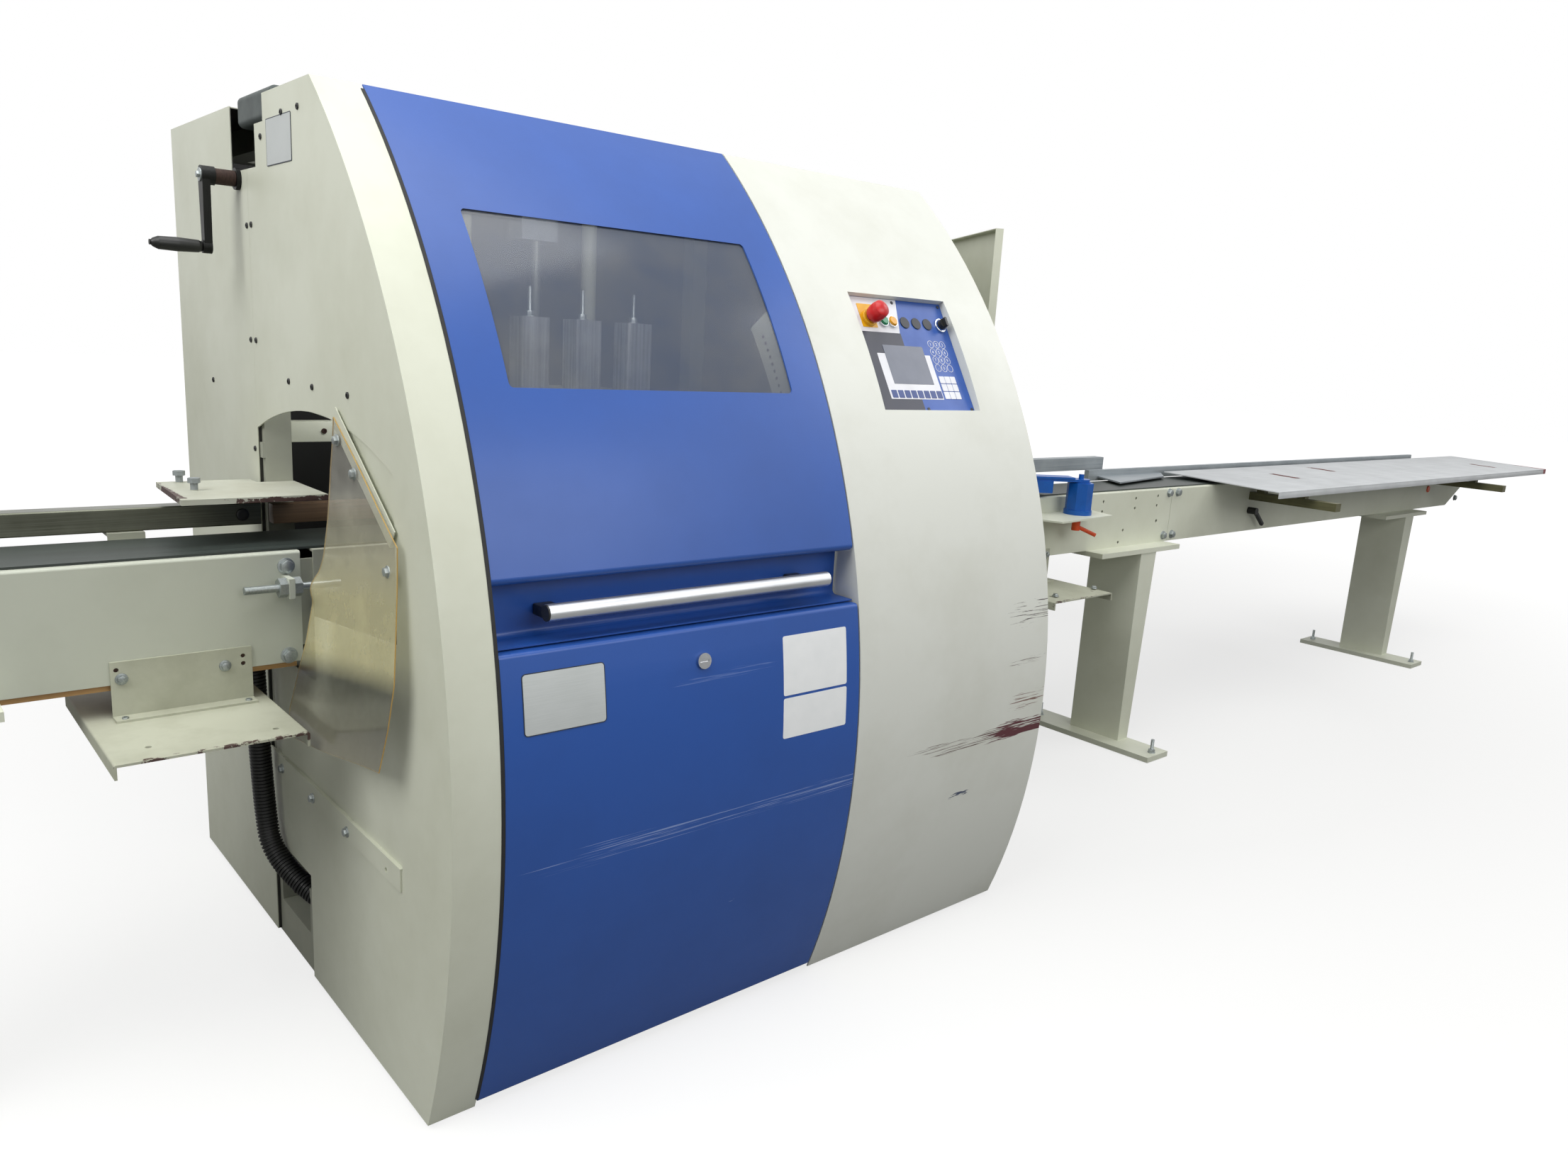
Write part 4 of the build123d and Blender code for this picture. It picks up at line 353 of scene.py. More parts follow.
def lines_along(tree, spot, grain, detail, rough=0.5):
    """Noise drawn out into lines; grain is the size of a line in mm along x, y and z."""
    lie = add(tree, "Mapping", {"Vector": spot, "Scale": [g * MM for g in grain]}, vector_type="TEXTURE")
    return add(tree, "TexNoise", {"Vector": lie, "Scale": 1.0, "Detail": detail, "Roughness": rough})


def inside_box(tree, spot, low, high):
    """1 inside a box given in millimetres, falling to 0 towards its sides."""
    middle = [(a + b) / 2 * MM for a, b in zip(low, high)]
    half = [(b - a) / 2 * MM for a, b in zip(low, high)]
    centred = {"Location": [-m / h for m, h in zip(middle, half)], "Scale": [1 / h for h in half]}
    moved = add(tree, "Mapping", {"Vector": spot, **centred})
    away = add(tree, "VectorMath", {0: moved}, operation="ABSOLUTE")
    x, y, z = add(tree, "SeparateXYZ", {0: away}).outputs
    most = add(tree, "Math", {0: x, 1: y}, operation="MAXIMUM")
    most = add(tree, "Math", {0: most, 1: z}, operation="MAXIMUM")
    return add(tree, "MapRange", {"Value": most, "From Min": 0.35, "To Min": 1.0, "To Max": 0.0})


def over_level(tree, noise, reach, outside, inside, soft):
    """1 where a noise passes a level, which lies lower inside a box than outside it."""
    level = add(tree, "MapRange", {"Value": reach, "To Min": outside, "To Max": inside})
    over = add(tree, "Math", {0: noise, 1: level}, operation="SUBTRACT")
    return add(tree, "MapRange", {"Value": over, "From Max": soft})


def with_marks(tree, spot, tint, marks):
    """Lays scraped lines over a tint; marks are (colour, low, high, grain, how many there are)."""
    for colour, low, high, grain, cover in marks:
        grit = lines_along(tree, spot, grain, 3.0, 0.65)
        mask = over_level(tree, grit, inside_box(tree, spot, low, high), 0.95, 1.0 - cover, 0.05)
        tint = add(tree, "MixRGB", {"Fac": mask, "Color1": tint, "Color2": colour})
    return tint


def orange_peel(tree, spot):
    """Bump of a powder coat; its peel is 1 to 2 mm across, drawn at 3 mm so that it shows."""
    peel = add(tree, "TexNoise", {"Vector": spot, "Scale": per(3), "Detail": 2.0})
    return add(tree, "Bump", {"Height": peel, "Strength": 0.12, "Distance": 0.6 * MM})


print("a patch of 380 mm has scale", round(per(380), 2))

# %% Powder coat
# Dark grey painted in as shade on the inner sides of the cabinet's sheets
PAINTED_SHADE_GREY = "#22221F"


def powder_coat(name, colours, rough, marks=(), coat=0.0, shade_boxes=()):
    """Powder coated steel with its scrape marks; shade_boxes gives boxes that are painted dark grey, as
    painted shade.
    """
    material, tree, shader, spot = open_finish(
        name, ior=1.5, specular_ior_level=0.45, coat_weight=coat, coat_roughness=0.22
    )
    clouds, tint = clouded(tree, spot, 380, colours, 0.42, 0.72, 0.55, 5.0, 0.62)
    tint = with_marks(tree, spot, tint, marks)
    for low, high in shade_boxes:
        sharp = add(tree, "MapRange", {"Value": inside_box(tree, spot, low, high), "From Max": 0.0008})
        tint = add(tree, "MixRGB", {"Fac": sharp, "Color1": tint, "Color2": PAINTED_SHADE_GREY})
    gloss = add(tree, "MapRange", {"Value": clouds, "To Min": rough - 0.1, "To Max": rough + 0.1})
    feed(tree, shader, base_color=tint, roughness=gloss, normal=orange_peel(tree, spot))
    return material


CREAM = ("#D9DCCB", "#C1C3AE")
BLUE = ("#2453A4", "#1F488F")
finishes = {
    # Greenish cream, satin, slightly soiled: the eye reads thin painted sheet
    "cream_paint": powder_coat("cream_powder_coat", CREAM, 0.45),
    # The same paint, duller, and darkened as painted shade for the parts in the dark of the cabinet
    "frame_paint": powder_coat("frame_powder_coat_painted_shade", ("#A6A899", "#7E8073"), 0.55),
    # Deep blue under a glossier skin, so the upper slope of the hood takes a pale sheen from the roof
    "blue_paint": powder_coat("blue_powder_coat", BLUE, 0.38, coat=0.15),
}
print("paints:", sorted(finishes))

# %% Scraped paint
def box_mm(node):
    """Lowest and highest corner of a node, in mm."""
    return [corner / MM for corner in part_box(node)]


cover_marks = [
    ("#8196C8", (-2640, -800, 428), (-1000, -700, 502), (300, 200, 2.4), 0.46),
    ("#5874B4", (-2150, -800, 712), (-1600, -700, 758), (220, 200, 2.4), 0.44),
    ("#6F86BC", (-2500, -800, 120), (-1400, -700, 350), (50, 200, 9.0), 0.31),
]
panel_marks = [
    ("#6A5A52", (-1560, -800, 446), (-700, -700, 510), (160, 200, 2.4), 0.48),
    ("#55222A", (-1290, -800, 440), (-630, -700, 516), (120, 200, 6.0), 0.58),
    ("#4A403C", (-1180, -800, 690), (-700, -700, 806), (80, 200, 2.2), 0.44),
    ("#6A5F58", (-1200, -800, 618), (-780, -700, 656), (120, 200, 2.2), 0.44),
    ("#7A5A50", (-1190, -800, 505), (-740, -700, 585), (120, 200, 2.6), 0.45),
    ("#3F4A63", (-1262, -800, 340), (-1140, -700, 364), (30, 200, 3.0), 0.52),
]
# Inside a box round the inner sides of the sheets that close the cabinet at the back and above, the cream is
# painted dark grey: painted shade for the dark inside of the cabinet
HALF_SHEET, SHADE_BACK = 1.5, 662.0
case_low, case_high = box_mm("rear_casing")
roof_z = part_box("top_panel")[0].z / MM + HALF_SHEET
inside_shade_box = ((case_low.x + HALF_SHEET, -3000, -100), (case_high.x - HALF_SHEET, SHADE_BACK, roof_z))
inside_shaded_sheet = powder_coat("cream_powder_coat_inside_shade", CREAM, 0.45, shade_boxes=[inside_shade_box])
# Pale level scratches show where the blue has been rubbed down to its ground
worn_cover = powder_coat("blue_powder_coat_scratched", BLUE, 0.38, cover_marks, coat=0.1)
# Dark lines and a brown-red smear where something was dragged past the corner
worn_panel = powder_coat("cream_powder_coat_scuffed", ("#DCDED6", "#C6C7BA"), 0.42, panel_marks)
# The infeed beam's cream is greyer, darker and duller than the cabinet's: the darkness is painted shade for
# its front, which the lamps from above and the left reach only at a slant
shaded_beam = powder_coat("cream_powder_coat_beam_shade", ("#BFC3B5", "#A8AB9B"), 0.5)
print("scraped bands:", len(cover_marks), "on the cover,", len(panel_marks), "on the panel")

# %% [markdown]
# Sheet edges that timber and tools knock lose their paint first. On the shelves and on the guide plate
# the chips show dark steel with a trace of rust, in ragged patches along the front edge only. A noise
# about 20 mm across decides where the paint has gone, and a thin box keeps it at the edge. The guide
# plate's two studs are zinc plated and were never painted, so boxes round them turn the paint to metal.

# %% Paint with chipped edges
BARE_STEEL, RUSTED_STEEL, BARE_ZINC = "#2B1D1A", "#58403A", "#8D9394"


def chipped_paint(name, colours, edges, cover, plated=()):
    """Cream paint that has chipped off inside the given boxes, and zinc inside the plated ones, in mm."""
    material, tree, shader, spot = open_finish(name, ior=1.5, roughness=0.5)
    tint = clouded(tree, spot, 140, colours, 0.4, 0.75, 0.7, 5.0, 0.65)[1]
    rust = add(tree, "TexNoise", {"Vector": spot, "Scale": per(6), "Detail": 3.0})
    steel = add(tree, "MixRGB", {"Fac": rust, "Color1": BARE_STEEL, "Color2": RUSTED_STEEL})
    ragged = add(tree, "TexNoise", {"Vector": spot, "Scale": per(22), "Detail": 6.0, "Roughness": 0.7})
    for low, high in edges:
        mask = over_level(tree, ragged, inside_box(tree, spot, low, high), 1.0, 1.0 - cover, 0.02)
        tint = add(tree, "MixRGB", {"Fac": mask, "Color1": tint, "Color2": steel})
    for low, high in plated:
        sharp = add(tree, "MapRange", {"Value": inside_box(tree, spot, low, high), "From Max": 0.04})
        tint = add(tree, "MixRGB", {"Fac": sharp, "Color1": tint, "Color2": BARE_ZINC})
    feed(tree, shader, base_color=tint, normal=orange_peel(tree, spot))
    return material


shelf_low, shelf_high = box_mm("side_shelves")
guide_low, guide_high = box_mm("infeed_guide_plate")
shelf_edge = ((shelf_low.x - 900, shelf_low.y - 15, 596), (shelf_high.x + 900, shelf_low.y + 15, 650))
guide_edge = ((guide_low.x - 60, guide_low.y - 7, 954), (guide_high.x + 300, guide_low.y + 7, 986))
guide_side = ((guide_low.x - 26, guide_low.y - 60, 950), (guide_low.x + 26, guide_high.y + 60, 1000))
studs = [((guide_low.x + 32, y - 22, 981), (guide_low.x + 64, y + 22, 1040)) for y in (21, 129)]
# Cream with ragged dark nicks along the front: the shelf looks used
chipped_shelf = chipped_paint("cream_paint_chipped_shelf", ("#B6B8A6", "#959682"), [shelf_edge], 0.63)
# Large flakes have gone from the guide plate's edge, and its two studs are bare zinc
chipped_guide = chipped_paint(
    "cream_paint_chipped_guide", ("#BCBEB0", "#A09E8A"), [guide_edge, guide_side], 0.65, plated=studs
)
print("chipped edges from", [round(v) for v in shelf_low], "to", [round(v) for v in shelf_high])

# %% [markdown]
# ## Metals
# Drawn aluminium and rolled steel carry fine lines in the direction they were worked. The lines are a
# noise that is long in that direction and a fraction of a millimetre wide across it; here they are drawn
# about a millimetre wide so that they show. They vary the roughness more than the colour. Oxidised and
# oily metal is less of a mirror, so its metallic value is below one.

# %% Brushed metals
def drawn_metal(name, colours, rough, grain, metal=1.0, marks=()):
    """Metal with lines along one axis; grain is the size of a line in mm along x, y and z."""
    material, tree, shader, spot = open_finish(name, metallic=metal)
    lines = lines_along(tree, spot, grain, 3.0, 0.6)
    clouds = add(tree, "TexNoise", {"Vector": spot, "Scale": per(110), "Detail": 4.0})
    blend = add(tree, "Math", {0: lines, 1: clouds}, operation="MULTIPLY")
    amount = add(tree, "MapRange", {"Value": blend, "From Min": 0.12, "From Max": 0.42})
    tint = add(tree, "MixRGB", {"Fac": amount, "Color1": colours[0], "Color2": colours[1]})
    tint = with_marks(tree, spot, tint, marks)
    gloss = add(tree, "MapRange", {"Value": lines, "To Min": rough - 0.09, "To Max": rough + 0.13})
    bump = add(tree, "Bump", {"Height": lines, "Strength": 0.25, "Distance": 0.02 * MM})
    feed(tree, shader, base_color=tint, roughness=gloss, normal=bump)
    return material


slot_metals = {
    # Satin silver with soft long highlights, as on the handle tube
    "anodised_aluminium": drawn_metal("anodised_aluminium", ("#D9DBDD", "#B9BCC0"), 0.34, (140, 1.2, 1.2)),
    # Grey with brown in it and a low shine: hot rolled sections, rubbed by timber
    "plain_steel": drawn_metal("rolled_steel", ("#7C7F78", "#53574F"), 0.42, (220, 1.4, 1.4), metal=0.45),
    # Rings of turning marks round the drums
    "drum_steel": drawn_metal("turned_steel", ("#A9ABA8", "#7F827F"), 0.35, (1.2, 40, 1.2)),
    # Grey, slightly blotched plating that catches small lights
    "zinc_steel": drawn_metal("zinc_plated_steel", ("#AEB4B3", "#838A8A"), 0.36, (3, 3, 3), metal=0.85),
    # Bright and fine-ground, with a hard highlight
    "blade_steel": drawn_metal("ground_blade_steel", ("#B9BCBD", "#8D9092"), 0.28, (30, 2, 30)),
    # Extruded profile with upright grooves; its thin pale and dark upright lines of colour, seen through the
    # hood's window, are painted highlights and painted shade of the grooves
    "cylinder_aluminium": drawn_metal(
        "extruded_aluminium_painted_highlights", ("#D8DADB", "#5E6266"), 0.30, (7, 7, 400), metal=0.75
    ),
}
finishes.update(slot_metals)
print("metals by slot:", sorted(slot_metals))

# %% Metals of single pieces
table_low, table_high = box_mm("side_table")
TABLE_SLOTS = [(1366, -228, -103), (1864, -142, -37), (3357, -295, -175)]
table_marks = [
    ("#6B3F3A", (x - 34, near - 30, 780), (x + 34, far + 30, 1030), (9, 60, 40), 0.86)
    for x, near, far in TABLE_SLOTS
]
corner_low, corner_high = (table_high.x - 70, table_low.y - 130, 780), (table_high.x + 70, -180, 1030)
table_marks.append(("#7A3036", corner_low, corner_high, (40, 120, 40), 0.62))
# Pale zinc-coated sheet worn smooth, with rust round the slots and a rub of red at the far corner
worn_table = drawn_metal(
    "worn_zinc_coated_sheet", ("#CDD0D2", "#B9BCBE"), 0.5, (260, 3, 3), metal=0.2, marks=table_marks
)
# Cool grey galvanising, drawn along the rail
zinc_rail = drawn_metal("galvanised_rail", ("#A3AAAE", "#858D92"), 0.42, (260, 2, 2), metal=0.4)
# Olive sheen of yellow passivated zinc
olive_zinc = drawn_metal("yellow_passivated_zinc", ("#6C6A4C", "#4E4D38"), 0.46, (3, 60, 3), metal=0.5)
# Cold drawn bar with an olive-brown oil film, mirror-like at a low angle
oiled_bar = drawn_metal("oiled_drawn_bar", ("#75776A", "#4C4E42"), 0.30, (240, 1.4, 1.4), metal=0.8)
# Near black oxide with a dull edge light
crank_steel = drawn_metal("blackened_steel", ("#1C1D1C", "#101110"), 0.42, (2, 2, 60), metal=0.6)
# Rust-brown, matt: the crank's bush and the arch screw, and the rust and painted shade of the bracket holes
rusty_steel_and_hole_shade = drawn_metal("rusty_steel_and_hole_shade", ("#4A3329", "#2E211C"), 0.6, (2, 8, 8), metal=0.35)
# Matt silver of a blank plate
dull_plate = drawn_metal("dull_aluminium_plate", ("#C6CAC9", "#B9BEBC"), 0.42, (60, 1, 1), metal=0.45)
# Mirror-bright rings round the buttons and the lock
chrome = drawn_metal("chromed_collar", ("#D4D6D8", "#B9BCBF"), 0.16, (4, 4, 4))
print("rust and red marks on the table:", len(table_marks))

# %% [markdown]
# ## Plastics and rubber
# Buttons, levers and plugs are moulded plastic with a fine spark-eroded texture; the rollers and the belts
# are rubber. One function draws the moulded grain, about 0.4 mm across on the tool and drawn at 0.8 mm, and
# lets the gloss vary a little where hands have polished it.

# %% Moulded plastics
def moulded(name, colours, rough, grain_mm=0.8, strength=0.18):
    """Moulded plastic, rubber or printed foil with a fine grain."""
    material, tree, shader, spot = open_finish(name, ior=1.47)
    clouds, tint = clouded(tree, spot, 36, colours, 0.35, 0.7, 0.6, 3.0)
    gloss = add(tree, "MapRange", {"Value": clouds, "To Min": rough - 0.08, "To Max": rough + 0.08})
    grain = add(tree, "TexNoise", {"Vector": spot, "Scale": per(grain_mm), "Detail": 1.0})
    bump = add(tree, "Bump", {"Height": grain, "Strength": strength, "Distance": 0.2 * MM})
    feed(tree, shader, base_color=tint, roughness=gloss, normal=bump)
    return material


slot_plastics = {
    # Soft black with a grey sheen at the edges
    "black_plastic": moulded("black_polyamide", ("#191A1A", "#262726"), 0.42),
    "lever_black": moulded("black_lever_polyamide", ("#121312", "#202120"), 0.45),
    # Saturated red that stays bright in the shade
    "red_plastic": moulded("red_polycarbonate", ("#CE1A1E", "#B01418"), 0.30),
    # Glossy lenses of the push buttons
    "green_plastic": moulded("green_lens", ("#1E8A5F", "#17704D"), 0.22),
    "yellow_plastic": moulded("yellow_lens", ("#E0A21C", "#C98C12"), 0.22),
    # Signal orange, slightly matt from handling
    "orange_plastic": moulded("orange_lever_polyamide", ("#E2531F", "#C94718"), 0.38),
    # Dull black that swallows light
    "roller_rubber": moulded("black_roller_rubber", ("#1C1C1B", "#292826"), 0.7, 1.5, 0.3),
    # Glossy enamel over the skin of a casting, whose grain is 2 to 3 mm
    "tensioner_blue": moulded("blue_enamel_casting", ("#0558B0", "#044892"), 0.34, 2.4, 0.2),
    "motor_grey": moulded("grey_enamel_casting", ("#7B8084", "#62676B"), 0.5, 2.4, 0.25),
    # Black ribs with a faint line of light on each
    "conduit_black": moulded("black_hose_polyamide", ("#0C0D0C", "#171817"), 0.45),
    # Satin printed film, the same blue all over
    "foil_blue": moulded("blue_printed_foil", ("#2F57A6", "#2A4E97"), 0.4, 0.6, 0.1),
}
finishes.update(slot_plastics)
# Deep matt black that closes a gap to the eye: the rubber of the hood's seal and of the hose ties, and
# painted shade in the gap beside the hood and in the strip's holes
black_rubber_and_shade = moulded("black_rubber_and_painted_shade", ("#0B0B0B", "#161616"), 0.65)
# Black worn to a soft shine by the hand
grip_plastic = moulded("black_grip_polyamide", ("#141514", "#232423"), 0.38)
# Grey-green housing of the cable connector
connector_grey = moulded("grey_green_polyamide", ("#3A4442", "#2C3433"), 0.5)
# The cut edge of the clear curtain gathers the yellow of the sheet's whole width
cut_edge = moulded("yellowed_cut_edge", ("#C9A55E", "#B8924C"), 0.3, 3.0, 0.1)
print("finishes so far:", len(finishes))

# %% [markdown]
# The belts are dark green-grey rubberised fabric, rubbed along the feed by the timber: long dull streaks
# run with the belt, and a faint cross weave of about 2 mm, drawn at 6 mm, shows through the cover.

# %% Belt
BELT_STREAK = (900, 6, 50)
belt, tree, shader, spot = open_finish("belt_rubber", ior=1.5)
streaks = lines_along(tree, spot, BELT_STREAK, 5.0, 0.65)
amount = add(tree, "MapRange", {"Value": streaks, "From Min": 0.35, "From Max": 0.7})
# Green-black with paler tracks, polished where the timber slides
tint = add(tree, "MixRGB", {"Fac": amount, "Color1": "#191E1C", "Color2": "#3A433F"})
gloss = add(tree, "MapRange", {"Value": streaks, "To Min": 0.34, "To Max": 0.60})
weave = add(tree, "TexWave", {"Vector": spot, "Scale": per(6), "Distortion": 0.6}, bands_direction="Y")
bump = add(tree, "Bump", {"Height": weave.outputs["Fac"], "Strength": 0.12, "Distance": 0.3 * MM})
feed(tree, shader, base_color=tint, roughness=gloss, normal=bump)
finishes["conveyor_belt"] = belt
print("belt streaks run", BELT_STREAK[0], "mm along the feed")

# %% [markdown]
# ## Pane and clear sheet
# The hood's pane is smoked polycarbonate with a film of fine dust: it shows the cylinders inside only dimly
# and turns grey where it catches the light. The curtain is a clear soft sheet, yellowed with age; at the
# belt's height its yellow is partly painted light, and below that it is painted dark grey as painted shade.
# Both are thin and flat, so they bend no light that the eye would notice; an alpha value lets what lies
# behind them through and keeps the dust, the painted shade and the gloss, where a refracting shader would
# also darken what is behind.

# %% Smoked pane
# Smoke grey, half see-through, with a faint mottled film
pane, tree, shader, spot = open_finish("smoked_polycarbonate", ior=1.58, alpha=0.55)
dust = add(tree, "TexNoise", {"Vector": spot, "Scale": per(240), "Detail": 6.0, "Roughness": 0.7})
film = add(tree, "MapRange", {"Value": dust, "From Min": 0.3, "From Max": 0.75})
tint = add(tree, "MixRGB", {"Fac": film, "Color1": "#4F5C74", "Color2": "#6F7379"})
gloss = add(tree, "MapRange", {"Value": film, "To Min": 0.10, "To Max": 0.22})
feed(tree, shader, base_color=tint, roughness=gloss)
finishes["smoked_window"] = pane
print("pane ready, dust patches of 240 mm")

# %% Clear curtain sheet
# Clear above; yellowed and hazy at the height of the belt, a yellow that is partly the sheet's own and partly
# painted light of the lit cream parts behind it; where it swings free, dark grey painted shade that pales
# towards the hem
YELLOW_FROM, YELLOW_FULL = 0.98, 0.80
SHADE_FROM, SHADE_FULL = 0.705, 0.665
FADE_FROM, FADE_FULL = 0.66, 0.50
clear, tree, shader, spot = open_finish("yellowed_clear_sheet", ior=1.5, specular_ior_level=0.9)
haze = add(tree, "TexNoise", {"Vector": spot, "Scale": per(90), "Detail": 5.0, "Roughness": 0.65})
place = add(tree, "SeparateXYZ", {0: spot}).outputs
# The lines between these zones slope: they lie 0.13 mm lower for every millimetre towards the back
slope = add(tree, "Math", {0: place["Y"], 1: 0.13}, operation="MULTIPLY")
height = add(tree, "Math", {0: place["Z"], 1: slope}, operation="ADD")
yellow = add(tree, "MapRange", {"Value": height, "From Min": YELLOW_FROM, "From Max": YELLOW_FULL})
below_shade = add(tree, "MapRange", {"Value": height, "From Min": SHADE_FROM, "From Max": SHADE_FULL})
fading = add(tree, "MapRange", {"Value": height, "From Min": FADE_FROM, "From Max": FADE_FULL})
grey = add(tree, "MixRGB", {"Fac": fading, "Color1": "#43433F", "Color2": "#97947F"})
tint = add(tree, "MixRGB", {"Fac": yellow, "Color1": "#C9C7BC", "Color2": "#D9D2A4"})
tint = add(tree, "MixRGB", {"Fac": below_shade, "Color1": tint, "Color2": grey})
film = {"From Min": 0.3, "From Max": 0.7, "To Min": 0.16, "To Max": 0.34}
cover = add(tree, "MapRange", {"Value": haze, **film})
for layer, most in ((yellow, 0.20), (below_shade, 0.14)):
    thicker = add(tree, "MapRange", {"Value": layer, "To Min": 0.0, "To Max": most})
    cover = add(tree, "Math", {0: cover, 1: thicker}, operation="ADD")
gloss = add(tree, "MapRange", {"Value": haze, "To Min": 0.06, "To Max": 0.26})
feed(tree, shader, base_color=tint, alpha=cover, roughness=gloss)
finishes["clear_sheet"] = clear
print("finishes:", len(finishes))

# %% [markdown]
# ## Finishes on the CAD nodes
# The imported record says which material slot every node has. Each slot gets its finish, and a few nodes get
# a closer one of their own: the scuffed panel, the scratched cover, the chipped shelves, the worn table.

# %% Assign the finishes
own_finish = {
    "right_panel": worn_panel,
    "lower_panel": worn_cover,
    "rear_casing": inside_shaded_sheet,
    "top_panel": inside_shaded_sheet,
    "side_shelves": chipped_shelf,
    "infeed_guide_plate": chipped_guide,
    "infeed_fence": oiled_bar,
    "infeed_beam": shaded_beam,
    "side_table": worn_table,
    "entry_rail": zinc_rail,
    "outfeed_fence": zinc_rail,
    "table_arms": olive_zinc,
    "hand_crank": crank_steel,
    "crank_grip": grip_plastic,
    "cover_lock": chrome,
    "cable_connector": connector_grey,
}
for row in frame["record"]["subparts"]:
    node = frame["nodes"][row["node"]]
    finish = own_finish.get(row["node"], finishes[row["material_slot"]])
    for slot in node.material_slots:
        slot.material = finish
    if not node.material_slots:
        node.data.materials.append(finish)

# %% [markdown]
# ## Bolts
# Zinc plated hex bolts with washers hold the beams, the angles and the splice. A bolt is modelled once: a
# washer with a bevelled rim, then a six-sided head on it with its corners turned off. It stands on the
# origin and points up, so a copy only needs a place and a direction.

# %% Bolt model
# A face is an upper one if its normal rises by at least this much
UPWARD = 0.95
CREASE = radians(35)
WASHER_T, WASHER_RIM, HEX_RIM = 2.2, 0.5, 0.9
# Corner radius and height of a hex head, for a width of 1 over its flats
HEX_CORNER, HEX_HEIGHT = 0.577, 0.42


def pick_faces(piece, test=lambda normal: normal.z > UPWARD):
    """Opens a piece for editing with only the faces selected whose normal passes a test."""
    edit(piece)
    for face in piece.data.polygons:
        face.select = test(face.normal)
    bpy.ops.object.mode_set(mode="EDIT")


def turn_off_rim(piece, round_off, segments=2):
    """Bevels the rim of the upper face, in mm."""
    pick_faces(piece)
    bpy.ops.mesh.region_to_loop()
    bpy.ops.mesh.bevel(offset=round_off * MM, segments=segments, affect="EDGES")
    close_edit()


def round_bar(name, radius, height, sides, base=0.0):
    """Cylinder or hexagon that stands at a base above the XY plane, in mm: the start of a turned piece."""
    deselect()
    bpy.ops.mesh.primitive_cylinder_add(
        vertices=sides, radius=radius * MM, depth=height * MM, location=(0, 0, (base + height / 2) * MM)
    )
    piece = bpy.context.object
    piece.name = name
    bpy.ops.object.transform_apply(location=True, rotation=True, scale=True)
    return piece


def turned_disc(name, radius, height, sides, round_off, base=0.0):
    """Disc or hexagon with its upper rim turned off."""
    disc = round_bar(name, radius, height, sides, base)
    turn_off_rim(disc, round_off)
    return disc


def joined(name, pieces):
    """Joins pieces into the first one."""
    deselect()
    for piece in pieces:
        piece.select_set(True)
    bpy.context.view_layer.objects.active = pieces[0]
    bpy.ops.object.join()
    pieces[0].name = name
    bpy.ops.object.shade_smooth_by_angle(angle=CREASE)
    return pieces[0]


def hex_bolt(name, across, washer_r):
    """Hex head with its washer; across is the width over two flats in mm."""
    washer = turned_disc(name + "_washer", washer_r, WASHER_T, 32, WASHER_RIM)
    head = turned_disc(name + "_head", across * HEX_CORNER, across * HEX_HEIGHT, 6, HEX_RIM, WASHER_T)
    return joined(name, [washer, head])


bolt_model = hex_bolt("bolt_model", 21.0, 15.0)
small_bolt_model = hex_bolt("small_bolt_model", 13.0, 10.0)
print("bolt:", len(bolt_model.data.polygons), "faces")

# %% Copies of a model
def twin_of(model, name):
    """Copy of a model with a mesh of its own."""
    twin = model.copy()
    twin.data = model.data.copy()
    twin.name = name
    bpy.context.scene.collection.objects.link(twin)
    return twin


def dress(piece, body, finish, matrix=None):
    """Puts a drawn piece in its place, gives it a finish and rides it on a body."""
    if matrix is not None:
        piece.data.transform(matrix)
    piece.data.materials.clear()
    piece.data.materials.append(finish)
    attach(piece, body)
    return piece


def set_down(model, name, place, towards, slot="zinc_steel", finish=None, body="cabinet", spin=0.0):
    """Copies a model to a place in mm, its up axis along a direction, and rides it on a body."""
    turn = Vector((0, 0, 1)).rotation_difference(Vector(towards)).to_matrix().to_4x4()
    spun = Matrix.Rotation(radians(spin), 4, "Z")
    stand = Matrix.Translation(Vector(place) * MM) @ turn @ spun
    return dress(twin_of(model, name), body, finish or finishes[slot], stand)


def set_row(model, name, places, towards, slot="zinc_steel", finish=None, body="cabinet", spin=0.0):
    """Numbered copies of a model, each spun by some degrees more than the one before."""
    for k, place in enumerate(places):
        set_down(model, f"{name}_{k + 1}", place, towards, slot, finish, body, spin * k)


def put_away(*models):
    """Removes models that have been copied."""
    for model in models:
        bpy.data.objects.remove(model)


TO_FRONT, TO_LEFT, TO_RIGHT, TO_UP = (0, -1, 0), (-1, 0, 0), (1, 0, 0), (0, 0, 1)
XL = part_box("left_side_panel")[0].x / MM
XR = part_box("right_panel")[1].x / MM
BEAM_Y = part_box("outfeed_beam_far")[0].y / MM
ANGLE_T = 4
beam_bolts = [(XL - 40, 863), (XL - 40, 696), (538.5, 872), (594.5, 872), (530.5, 722), (586.5, 722)]
angle_bolts = [(XL - 311, 693), (XL - 150, 693), (XR + 600, 704), (XR + 792, 706)]
set_row(bolt_model, "beam_bolt", [(x, BEAM_Y, z) for x, z in beam_bolts], TO_FRONT, spin=17)
set_row(small_bolt_model, "angle_bolt", [(x, BEAM_Y - ANGLE_T, z) for x, z in angle_bolts], TO_FRONT, spin=23)
print("bolts on the beams:", len(beam_bolts + angle_bolts))

# %% [markdown]
# ## The clear curtain
# A soft clear sheet hangs from the bolted lip beside the infeed and keeps chips in. It was cut slanted at
# the top and hangs free below, so its lower part swings outwards and its rear edge wanders where the
# tension rod presses on it. A grid of points follows that outline, and Solidify gives it 2 mm.

